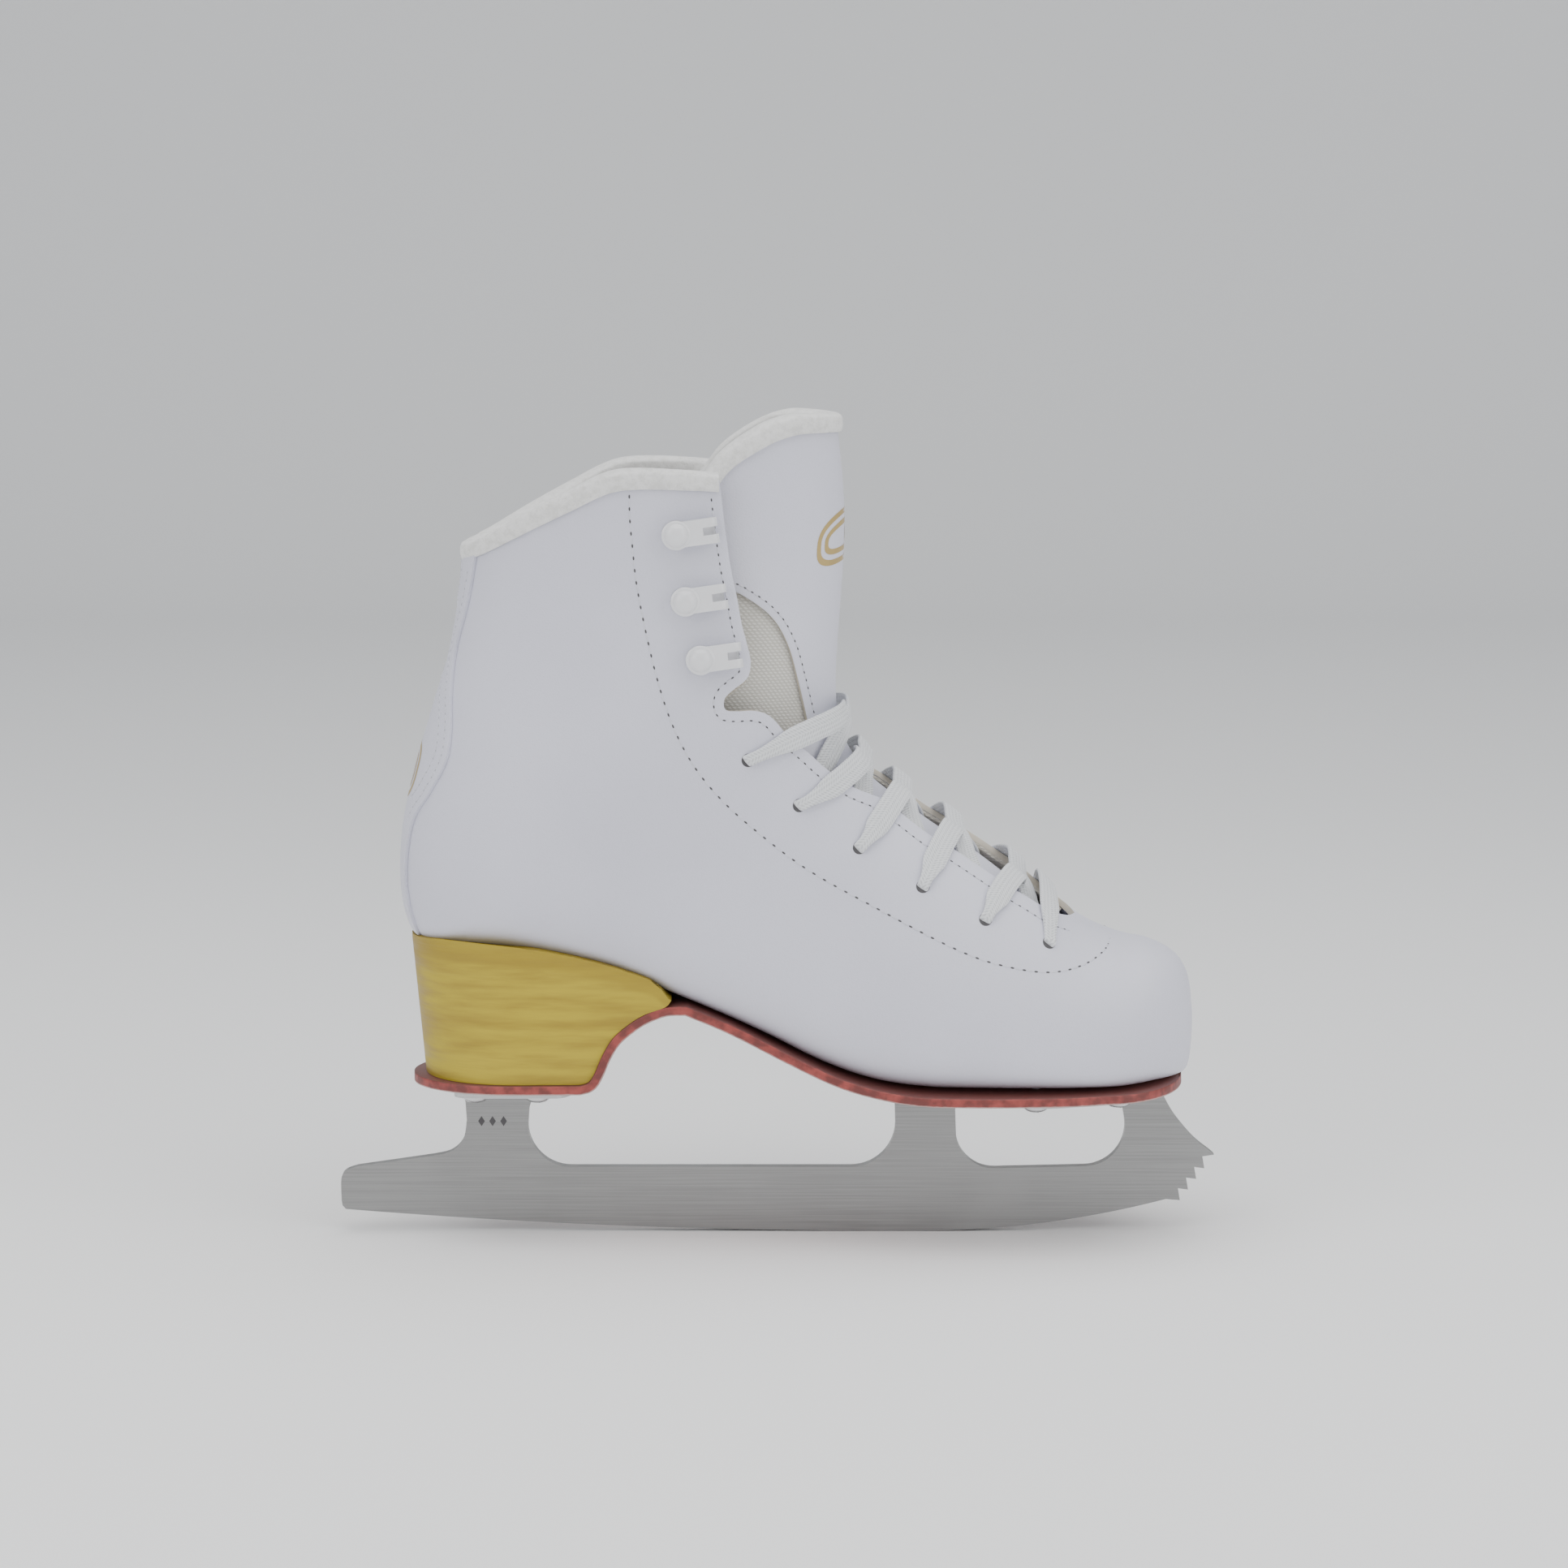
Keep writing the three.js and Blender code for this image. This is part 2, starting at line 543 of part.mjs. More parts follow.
/** An edge binding: an upturned channel that wraps a layer between two depths. */
function binding(path, topDepth, bottomDepthAt) {
  const rings = path.map(({ u, v }, i) => {
    const here = surface(u, v);
    const n = outward(u, v);
    const before = path[Math.max(i - 1, 0)];
    const after = path[Math.min(i + 1, path.length - 1)];
    const along = surface(after.u, after.v).sub(surface(before.u, before.v)).normalize();
    const up = along.clone().cross(n).normalize();
    if (up.z < 0) up.negate();
    const climb = surface(Math.min(u + 0.05, LAST), v).sub(surface(u - 0.05, v)).multiplyScalar(10).dot(up);
    const bottom = bottomDepthAt(here.x);
    const outer = topDepth - BINDING_ROOM;
    const inner = bottom + BINDING_ROOM;
    const section = [
      [outer - BINDING, -BINDING_REACH], [outer - BINDING, 0.4], [outer, BINDING + CLEAR],
      [inner, BINDING + CLEAR], [inner + BINDING, 0.4], [inner + BINDING, -BINDING_REACH],
      [inner, -BINDING_REACH], [inner, CLEAR], [outer, CLEAR], [outer, -BINDING_REACH],
    ];
    return section.map(([d, k]) => (k < 0 ? onFacets(u + k / climb, v, d) : onFacets(u, v, d).addScaledVector(up, k)));
  });
  return ringSolidFlat(rings);
}

/** As ringSolid, for sections that are not convex: the ends are triangulated as shapes. */
function ringSolidFlat(rings) {
  const around = rings[0].length;
  const points = rings.flat();
  const index = [];
  for (let i = 0; i + 1 < rings.length; i++) {
    for (let j = 0; j < around; j++) {
      const a = i * around + j;
      const b = i * around + ((j + 1) % around);
      index.push(a, b, a + around, b, b + around, a + around);
    }
  }
  for (const [i, flip] of [[0, false], [rings.length - 1, true]]) {
    const ring = rings[i];
    const right = ring[2].clone().sub(ring[3]).normalize();
    const normal = right.clone().cross(ring[1].clone().sub(ring[0])).normalize();
    const up = normal.clone().cross(right);
    const flat = ring.map((p) => new THREE.Vector2(p.dot(right), p.dot(up)));
    for (const [a, b, c] of THREE.ShapeUtils.triangulateShape(flat, [])) {
      const t = [a, b, c].map((k) => i * around + k);
      const area = (flat[b].x - flat[a].x) * (flat[c].y - flat[a].y)
        - (flat[c].x - flat[a].x) * (flat[b].y - flat[a].y);
      const turn = THREE.ShapeUtils.area(flat) > 0 === area > 0;
      const order = turn ? t : [t[1], t[0], t[2]];
      index.push(...(flip ? order : [order[1], order[0], order[2]]));
    }
  }
  const geometry = new THREE.BufferGeometry();
  geometry.setAttribute("position", new THREE.Float32BufferAttribute(points.flatMap((p) => p.toArray()), 3));
  geometry.setIndex(index);
  return solidOf(geometry);
}

const collarStart = seenAt(lengthwise(-19.5), collar(lengthwise(-19.5)), -1)[1];
const collarEnd = seenAt(lengthwise(-19.5), collar(lengthwise(-19.5)), 1)[1];
const LINING_EDGE = lengthwise(-45);
const STAY_ONLY = lengthwise(-33);
const collarPath = edgeAlong(collar, collarStart, collarEnd - 1, 28);
add("collar_binding", binding(collarPath, 0, (x) => {
  const front = THREE.MathUtils.smoothstep(x, LINING_EDGE, STAY_ONLY);
  return LINING_BOTTOM + (STAY_BOTTOM - LINING_BOTTOM) * front;
}), PLUSH, 0.95);

// ---- tongue --------------------------------------------------------------------------------------------
// The tongue bends forward over its crease, just above the top crossing of the lace.
const PIVOT = placed([[20.5, 181.5]])[0];
const CREASE_SLOPE = 0.27; // the crease drops towards the back
const CREASE_GAP = 0.8;
const TONGUE_BACK = lengthwise(-27); // back edge of the tongue's wings in the shaft
const tongueTop = heightLine(placed([
  [-40, 226], [-30, 238], [-20.4, 249.4], [-16, 254.6], [-9, 259.6], [0, 264.2], [8, 266.4], [14, 266.7], [40, 266.7],
]));
const creaseAt = (x) => PIVOT[1] + CREASE_SLOPE * (x - PIVOT[0]);
const front = lengthwise(60);
const back = lengthwise(-60);
const belowCrease = sidePrism([[front, creaseAt(front)], [back, creaseAt(back)], [back, 0], [lengthwise(160), 0],
  [lengthwise(160), creaseAt(front)]]);
const aboveCrease = sidePrism([[front, creaseAt(front) + CREASE_GAP], [front, 500], [back, 500],
  [back, creaseAt(back) + CREASE_GAP]]);
const tongueTopXs = Array.from({ length: 25 }, (_, i) => lengthwise(-60 + i * 4.2));
const belowTongueTop = sidePrism([...tongueTopXs.map((x) => [x, tongueTop(x) - EDGE_SLACK]),
  [front, tongueTop(front) - EDGE_SLACK],
  [front, 0], [tongueTopXs[0], 0]]);

const underFacings = [
  [104, 99], [97, 91], [86, 91.5], [72, 95], [50, 106], [26, 121], [4, 136], [-8, 147], [-12, 158],
];
const lowerOutline = placed([...underFacings, [-13, 160], [-19, 176], [-22, 190], [-22, 210], [104, 210]]);
const lowerLeatherOutline = placed([...underFacings, [10.2, 161], [9.9, 169], [7.8, 178.6], [6.2, 185.3], [4, 210],
  [104, 210]]);
const upperWingOutline = [
  ...placed([[-13, 158], [-19, 176], [-25, 196]]), [TONGUE_BACK, upward(212)], [TONGUE_BACK, 500],
  ...placed([[60, 500], [60, 158]]),
];
const leatherOutline = placed([
  [10.4, 160], [9.9, 169], [7.8, 178.6], [6.2, 185.3], [4, 193.4], [0.8, 200.4], [-3.4, 205.6], [-9, 209.8],
  [-15, 213], [-27, 217], [-27, 500], [60, 500], [60, 160],
]);
const tongueLeather = layer(TONGUE_SEAT, TONGUE_SEAT + TONGUE_LEATHER);
const tonguePad = layer(TONGUE_PAD_TOP, TONGUE_BOTTOM);
const liningZone = join([-1, 1].map((side) => behindSewnLine(side)
  .intersect(boxSolid(-200, 200, Math.min(90 * side, 0), Math.max(90 * side, 0), -20, 420))));
const lowerZone = (outline) => sidePrism(outline).intersect(belowCrease)
  .subtract(liningZone.translate([0.6, 0, 0.6]));
const TONGUE_SLACK = 0.4;
const TOP_LEAN = 0.2; // the tongue leans back, so its inner layers end lower
const upperZone = (depth) => sidePrism(upperWingOutline).intersect(aboveCrease)
  .intersect(belowTongueTop.translate([-TOP_LEAN * depth, 0, -TOP_LEAN * depth - TONGUE_SLACK]));
add("tongue_lower_leather", tongueLeather.intersect(lowerZone(lowerLeatherOutline)), WHITE, 0.45);
add("tongue_lower_pad", tonguePad.intersect(lowerZone(lowerOutline)), 0xb9b6aa, 0.95);
const leatherBack = boxSolid(TONGUE_BACK, 200, -90, 90, -10, 500);
add("tongue_upper_leather", tongueLeather.intersect(upperZone(TONGUE_PAD_TOP)).intersect(sidePrism(leatherOutline))
  .intersect(leatherBack), WHITE, 0.45);
add("tongue_upper_pad", tonguePad.intersect(upperZone(TONGUE_BOTTOM)), 0xb9b6aa, 0.95);

const BINDING_BACK = TONGUE_BACK + 1.2;
const tongueStart = seenAt(BINDING_BACK, tongueTop(BINDING_BACK), -1)[1];
const tongueEnd = seenAt(BINDING_BACK, tongueTop(BINDING_BACK), 1)[1];
add("tongue_binding", binding(edgeAlong(tongueTop, tongueStart, tongueEnd, 18), TONGUE_SEAT - CLEAR,
  () => TONGUE_BOTTOM), PLUSH, 0.95);

// ---- hooks -----------------------------------------------------------------------------------------------
const HOOK_BASE = CLEAR; // underside of a hook above the leather
const HOOK_FLAP = HOOK_BASE + HOOK_SHEET + HOOK_GAP; // underside of its flap
const HOOK_TILT = THREE.MathUtils.degToRad(8); // the flap points up and forward
const WINDOW_LENGTH = 5.2; // opening in the fold of a hook
const WINDOW_WIDTH = 2.4;
/** Stands a hook shape, drawn with X to the lace edge and Z outwards, on its seat. */
function onSeat(solid, seat, side) {
  const ahead = new THREE.Vector3(Math.cos(HOOK_TILT), 0, Math.sin(HOOK_TILT));
  ahead.addScaledVector(seat.n, -ahead.dot(seat.n)).normalize();
  const wide = seat.n.clone().cross(ahead);
  const m = new THREE.Matrix4().makeBasis(ahead, wide, seat.n).setPosition(seat.place);
  return solid.transform(m.elements);
}
function hookSolid() {
  const bend = (HOOK_FLAP + HOOK_SHEET - HOOK_BASE) / 2;
  const straight = HOOK_REACH - bend;
  const profile = new THREE.Shape();
  profile.moveTo(-1, HOOK_BASE);
  profile.lineTo(straight, HOOK_BASE);
  profile.absarc(straight, HOOK_BASE + bend, bend, -Math.PI / 2, Math.PI / 2, false);
  profile.lineTo(0, HOOK_FLAP + HOOK_SHEET);
  profile.lineTo(0, HOOK_FLAP);
  profile.lineTo(straight, HOOK_FLAP);
  profile.absarc(straight, HOOK_BASE + bend, bend - HOOK_SHEET, Math.PI / 2, -Math.PI / 2, true);
  profile.lineTo(-1, HOOK_BASE + HOOK_SHEET);
  const sheet = new THREE.ExtrudeGeometry(profile, { depth: HOOK_WIDTH, bevelEnabled: false, curveSegments: 2 });
  sheet.rotateX(Math.PI / 2);
  sheet.translate(0, HOOK_WIDTH / 2, 0);
  const origin = new THREE.Vector3();
  const z = new THREE.Vector3(0, 0, 1);
  const base = pin(HOOK_DOME, HOOK_BASE, HOOK_BASE + HOOK_SHEET, origin, z, 8);
  const top = HOOK_FLAP + HOOK_SHEET;
  const dome = turned([[0, HOOK_FLAP], [HOOK_DOME, HOOK_FLAP], [HOOK_DOME, top], [HOOK_DOME - 0.5, top + 0.5],
    [HOOK_DOME * 0.6, top + 1.6], [0, top + 2]], origin, z, 8);
  const window = boxSolid(HOOK_REACH - WINDOW_LENGTH, HOOK_REACH - 0.9, -WINDOW_WIDTH / 2, WINDOW_WIDTH / 2,
    HOOK_BASE + bend, 12);
  const notch = boxSolid(HOOK_REACH - 0.8, HOOK_REACH + 1, -WINDOW_WIDTH / 2, WINDOW_WIDTH / 2, -1, 12);
  return solidOf(sheet).add(base).add(dome).subtract(window).subtract(notch)
    .subtract(pin(RIVET_RADIUS + CLEAR, -2, HOOK_FLAP - 0.5, origin, z, 6));
}
const CLINCH = STAY_BOTTOM + 3 * CLEAR; // where a rivet is clinched inside
const rivetProfile = [
  [0, HOOK_BASE + HOOK_SHEET + CLEAR + 0.9], [RIVET_RADIUS + 0.4, HOOK_BASE + HOOK_SHEET + CLEAR + 0.9],
  [RIVET_RADIUS + 1.4, HOOK_BASE + HOOK_SHEET + CLEAR], [RIVET_RADIUS, HOOK_BASE + HOOK_SHEET + CLEAR],
  [RIVET_RADIUS, -CLINCH], [RIVET_RADIUS + 1.1, -CLINCH],
  [RIVET_RADIUS + 1, -CLINCH - 0.7], [0, -CLINCH - 0.7],
];
for (const side of [-1, 1]) {
  hooks[side].forEach((seat, i) => {
    add(`hook_${sideName(side)}_${i + 1}`, onSeat(hookSolid(), seat, side), 0xf2f2f0, 0.25);
    add(`hook_rivet_${sideName(side)}_${i + 1}`, turned(rivetProfile, seat.place, seat.n, 6), 0xc9c9c6, 0.35, 0.9);
  });
}

// ---- outsole and heel --------------------------------------------------------------------------------------
const TOE_TIP = 131.6;
const HEEL_TIP = -118.4;
const soleSide = {
  "-1": [[105, 37.8], [94, 40.6], [82, 41.9], [66, 42.5], [48, 41], [31, 36.8], [14, 32.5], [-6, 28.8], [-29, 27.2],
    [-56, 28], [-84, 28.8]],
  1: [[105, 39.6], [94, 41.8], [82, 42.5], [66, 40.6], [48, 36.4], [31, 31.8], [14, 28.4], [-6, 26], [-29, 25.2],
    [-56, 27], [-84, 28.8]],
};
const TOE_SHIFT = 3; // the tip of the toe lies towards the inner side
function roundEnd(x0, y0, tip, side, power, shift, count) {
  return Array.from({ length: count }, (_, i) => {
    const a = ((i + 1) / (count + 0.35)) * (Math.PI / 2);
    const x = x0 + (tip - x0) * Math.sin(a) ** (2 / power);
    return [x, side * y0 * Math.cos(a) ** (2 / power) + shift * Math.sin(a)];
  });
}
/** Plan outline of the sole, grown by an amount all round. */
function soleOutline(grow) {
  const sides = [-1, 1].map((side) => {
    const along = curvePoints(soleSide[side], 16).map(([x, y]) => [x, side * (y + grow)]);
    const [x0, y0] = soleSide[side][0];
    const [x1, y1] = soleSide[side][soleSide[side].length - 1];
    const toe = roundEnd(x0, y0 + grow, TOE_TIP + grow, side, 2.25, TOE_SHIFT, 7);
    const heel = roundEnd(x1, y1 + grow, HEEL_TIP - grow, side, 2.1, 0, 6);
    return [...toe.reverse(), ...along, ...heel];
  });
  return [...sides[0], ...sides[1].reverse()].map(([x, y]) => [lengthwise(x), across(y)]);
}
const soleTopLine = FLOOR_LINE.filter(([x]) => x > lengthwise(-30));
const ARCH_START = [lengthwise(-30), feather(lengthwise(-30))];
// the front (breast) of the heel, from the arch down to the floor of the heel
const breast = placed([[-36, 78.9], [-42.8, 76.4], [-48, 73.1], [-52.8, 68.8], [-56.2, 63.2], [-58.6, 57.6]]);
const HEEL_FLOOR = 50.5; // underside of the outsole at the heel
const breastFoot = [...placed([[-60.6, 54.6]]).map(([x]) => [x, HEEL_FLOOR + OUTSOLE + 1]),
  [lengthwise(-63.5), HEEL_FLOOR + OUTSOLE]];
const soleInside = [...soleTopLine.reverse(), ARCH_START, ...breast, ...breastFoot,
  [lengthwise(-122), HEEL_FLOOR + OUTSOLE]];
/** A line set off to one side by a distance. */
function offsetLine(points, distance) {
  return points.map((p, i) => {
    const a = points[Math.max(i - 1, 0)];
    const b = points[Math.min(i + 1, points.length - 1)];
    const [dx, dz] = [b[0] - a[0], b[1] - a[1]];
    const length = Math.hypot(dx, dz);
    return [p[0] - (dz / length) * distance, p[1] + (dx / length) * distance];
  });
}
const soleUnder = offsetLine(soleInside, OUTSOLE);
const BALL_FLOOR = soleUnder.filter(([x]) => x > lengthwise(62) && x < lengthwise(106)).map((p) => p[1]);
const FRONT_FLOOR = Math.min(...BALL_FLOOR); // the plate's flat seat under the ball of the foot
const soleBand = sidePrism([[lengthwise(170), soleInside[0][1]], ...soleInside, ...soleUnder.reverse(),
  [lengthwise(170), soleInside[0][1] - OUTSOLE]]);

// screws: [x, y] of each, in the heel plate and in the front plate
const heelScrews = [[-97.5, -15.5], [-97.5, 15.5], [-77.5, -15.5], [-77.5, 15.5]].map(([x, y]) => [lengthwise(x), y]);
const frontScrews = [[48, -12], [48, 12], [83, -24.5], [83, 24.5], [110, -17], [110, 18]]
  .map(([x, y]) => [lengthwise(x), y]);
const up = new THREE.Vector3(0, 0, 1);
const HEEL_SCREW_LENGTH = 14;
const frontScrewTop = (x) => feather(x) + CLEAR + BOARD - 0.3;
const screwCuts = join([
  ...heelScrews.map(([x, y]) => pin(SCREW_RADIUS + CLEAR, HEEL_FLOOR - 10, HEEL_FLOOR + HEEL_SCREW_LENGTH + 1,
    new THREE.Vector3(x, y, 0), up, 8)),
  ...frontScrews.map(([x, y]) => pin(SCREW_RADIUS + CLEAR, FRONT_FLOOR - 10, frontScrewTop(x) + 0.5,
    new THREE.Vector3(x, y, 0), up, 8)),
]);
const frontSeat = boxSolid(lengthwise(35), lengthwise(125), -60, 60, -10, FRONT_FLOOR);
add("outsole", soleBand.intersect(planPrism(soleOutline(0), 0, 120)).subtract(frontSeat).subtract(screwCuts),
  0x9c4a44, 0.6);

const heelSide = [
  ...FLOOR_LINE.filter(([x]) => x < lengthwise(-31)).map(([x, z]) => [x, z - CLEAR]).reverse(),
  [lengthwise(-124), feather(lengthwise(-118)) - CLEAR],
  [lengthwise(-124), HEEL_FLOOR + OUTSOLE + CLEAR], [lengthwise(-63.6), HEEL_FLOOR + OUTSOLE + CLEAR],
  ...[...breast, breastFoot[0]].map(([x, z]) => [x - CLEAR * 0.9, z + CLEAR * 0.6]).reverse(),
];
const HEEL_LEAN = 4;
const taperRings = [[HEEL_FLOOR, -HEEL_TAPER], [feather(lengthwise(-118)) + 2, 0.2]].map(([z, grow]) => {
  const shrink = grow < 0 ? HEEL_LEAN : 0; // the back of the heel leans forward towards the floor
  return soleOutline(grow).map(([x, y]) => {
    const backward = THREE.MathUtils.clamp((lengthwise(-84) - x) / 34, 0, 1);
    return new THREE.Vector3(x + shrink * backward, y, z);
  });
});
const heelTaper = ringSolid(taperRings);
add("heel_block", sidePrism(heelSide).intersect(heelTaper)
  .intersect(boxSolid(-200, lengthwise(-31), -90, 90, 0, 200)).subtract(screwCuts), 0xc9ae4e, 0.5);

// insole board with the steel shank let into it, and the loose footbed
const shank = sidePrism([...FLOOR_LINE.filter(([x]) => x > lengthwise(-74) && x < lengthwise(16)).map(
  ([x, z]) => [x, z + CLEAR]), ...FLOOR_LINE.filter(([x]) => x > lengthwise(-74) && x < lengthwise(16)).map(
  ([x, z]) => [x, z + CLEAR + SHANK]).reverse()], -SHANK_WIDTH / 2, SHANK_WIDTH / 2);
const shankSlot = sidePrism([...FLOOR_LINE.filter(([x]) => x > lengthwise(-80) && x < lengthwise(22)).map(
  ([x, z]) => [x, z - 2]), ...FLOOR_LINE.filter(([x]) => x > lengthwise(-80) && x < lengthwise(22)).map(
  ([x, z]) => [x, z + SHANK + 2 * CLEAR]).reverse()], -SHANK_WIDTH / 2 - CLEAR, SHANK_WIDTH / 2 + CLEAR);
add("steel_shank", shank, STEEL, 0.4, 0.9);
add("insole_board", boot(INNER_TOP).intersect(floorBand(CLEAR, CLEAR + BOARD)).subtract(shankSlot)
  .subtract(screwCuts), 0xb08a5a, 0.9);
const footbedFoot = CLEAR + BOARD + CLEAR;
add("footbed", boot(LINING_BOTTOM + CLEAR).intersect(floorBand(footbedFoot, footbedFoot + FOOTBED)),
  0xe6e4dc, 0.9);

// ---- blade ---------------------------------------------------------------------------------------------------
const HEEL_PLATE_TOP = HEEL_FLOOR - CLEAR;
const FRONT_PLATE_TOP = FRONT_FLOOR - CLEAR;
function roundedOutline(corners, radius, segments = 4) {
  const out = [];
  corners.forEach((corner, i) => {
    const p = new THREE.Vector2(...corner);
    const a = new THREE.Vector2(...corners[(i + corners.length - 1) % corners.length]).sub(p);
    const b = new THREE.Vector2(...corners[(i + 1) % corners.length]).sub(p);
    const half = Math.acos(THREE.MathUtils.clamp(a.clone().normalize().dot(b.clone().normalize()), -1, 1)) / 2;
    const reach = Math.min(radius / Math.tan(half), a.length() * 0.48, b.length() * 0.48);
    const start = p.clone().addScaledVector(a.normalize(), reach);
    const end = p.clone().addScaledVector(b.normalize(), reach);
    const curve = new THREE.QuadraticBezierCurve(start, p, end);
    for (const q of curve.getPoints(segments)) out.push([q.x, q.y]);
  });
  return out;
}
const plateCuts = (screws, top) => join(screws.map(([x, y]) => pin(SCREW_RADIUS + CLEAR, top - PLATE - 2, top + 2,
  new THREE.Vector3(x, y, 0), up, 8)));
const heelPlate = roundedOutline([[-104.5, -21], [-69, -21], [-66, -14], [-66, 14], [-69, 21], [-104.5, 21]]
  .map(([x, y]) => [lengthwise(x), y]), 6);
add("heel_plate", planPrism(heelPlate, HEEL_PLATE_TOP - PLATE, HEEL_PLATE_TOP)
  .subtract(plateCuts(heelScrews, HEEL_PLATE_TOP)), STEEL, 0.35, 1);
const frontPlate = roundedOutline([[36, -11], [42, -18], [58, -19], [74, -29], [88, -31], [106, -25.5], [122.6, -9],
  [122.6, 11], [106, 26.5], [88, 31], [74, 29], [58, 19], [42, 18], [36, 11]].map(([x, y]) => [lengthwise(x), y]), 8);
add("front_plate", planPrism(frontPlate, FRONT_PLATE_TOP - PLATE, FRONT_PLATE_TOP)
  .subtract(plateCuts(frontScrews, FRONT_PLATE_TOP)), STEEL, 0.35, 1);

// runner: the side outline, drawn at its own length
const LOWEST = 35; // X of the lowest point of the long curve
const FRONT_START = 47; // X where the tighter front curve starts
const edgeHeight = (x) => (x < LOWEST ? (x - LOWEST) ** 2 / (2 * ROCKER)
  : x < FRONT_START ? 0 : (x - FRONT_START) ** 2 / (2 * FRONT_ROCKER));
const TAIL = -142.6;
const PICK_FOOT = 127; // X where the running edge meets the lowest pick
const PICK_STEP = [2.62, 3.55]; // each pick lies this much further forward and up
const heelPlateFoot = HEEL_PLATE_TOP - PLATE;
const frontPlateFoot = FRONT_PLATE_TOP - PLATE;
const runningEdge = Array.from({ length: 25 }, (_, i) => TAIL + 1.4 + ((PICK_FOOT - TAIL - 1.4) * i) / 24)
  .map((x) => [x, edgeHeight(x)]);
const picks = [];
for (let i = 0; i < 4; i++) {
  picks.push([PICK_FOOT + 4.6 + PICK_STEP[0] * i, edgeHeight(PICK_FOOT) - 0.4 + PICK_STEP[1] * i]);
  picks.push([PICK_FOOT + 3.9 + PICK_STEP[0] * i, edgeHeight(PICK_FOOT) + 3.6 + PICK_STEP[1] * i]);
}
picks.push([PICK_FOOT + 15.6, 25.4]);
const runnerTop = [
  [141.2, 26.6], [135.6, 31.2], [129.2, 39], [125, frontPlateFoot], [111.6, frontPlateFoot],
  ...roundedOutline([[113.4, frontPlateFoot], [115.8, 21.9], [58.2, 20.6], [58.2, frontPlateFoot]], 11, 6)
    .slice(7, 21),
  [57.6, frontPlateFoot - 3], [59, frontPlateFoot], [36.4, frontPlateFoot], [38, frontPlateFoot - 3],
  ...roundedOutline([[38.4, frontPlateFoot], [38.4, 21.4], [-81.4, 21.4], [-81.4, 44]], 12.5, 6).slice(7, 21),
  [-81, 40], [-78.6, heelPlateFoot], [-103, heelPlateFoot], [-101.6, 42],
  ...curvePoints([[-101.4, 37], [-102.6, 30.6], [-106.4, 26.6], [-112, 25.1]], 8),
  [-137.4, 21.4], [-141, 20], [-142.6, 17.4], [-142.6, 10.4],
];
const runnerOutline = [...runningEdge, ...picks, ...runnerTop];
const GROOVE_HALF = BLADE / 2 - 0.25;
const groove = ringSolid(runningEdge.map(([x, z]) => [[-GROOVE_HALF, -1], [-GROOVE_HALF, 0],
  [0, HOLLOW], [GROOVE_HALF, 0],
  [GROOVE_HALF, -1]].map(([y, k]) => new THREE.Vector3(x, y, z + k))));
add("blade_runner", sidePrism(runnerOutline, -BLADE / 2, BLADE / 2).subtract(groove), STEEL, 0.35, 1);

function screwSolid(x, y, plateTop, tip) {
  const seat = plateTop - PLATE - CLEAR;
  return turned([[0, tip], [SCREW_RADIUS, tip - 2], [SCREW_RADIUS, seat], [SCREW_HEAD, seat],
    [SCREW_HEAD * 0.88, seat - SCREW_HEAD_HEIGHT * 0.5], [0, seat - SCREW_HEAD_HEIGHT]].reverse(),
  new THREE.Vector3(x, y, 0), up, 8);
}
heelScrews.forEach(([x, y], i) => add(`heel_plate_screw_${i + 1}`,
  screwSolid(x, y, HEEL_PLATE_TOP, HEEL_FLOOR + HEEL_SCREW_LENGTH), 0xc8cacc, 0.3, 1));
frontScrews.forEach(([x, y], i) => add(`front_plate_screw_${i + 1}`,
  screwSolid(x, y, FRONT_PLATE_TOP, frontScrewTop(x)), 0xc8cacc, 0.3, 1));

// ---- lace ------------------------------------------------------------------------------------------------------
function inOutline([x, z], outline) {
  let inside = false;
  for (let i = 0, j = outline.length - 1; i < outline.length; j = i++) {
    const [xi, zi] = outline[i];
    const [xj, zj] = outline[j];
    if (zi > z !== zj > z && x < ((xj - xi) * (z - zi)) / (zj - zi) + xi) inside = !inside;
  }
  return inside;
}

const EDGE_MARGIN = 6.2; // the lace keeps its depth for this far past an edge
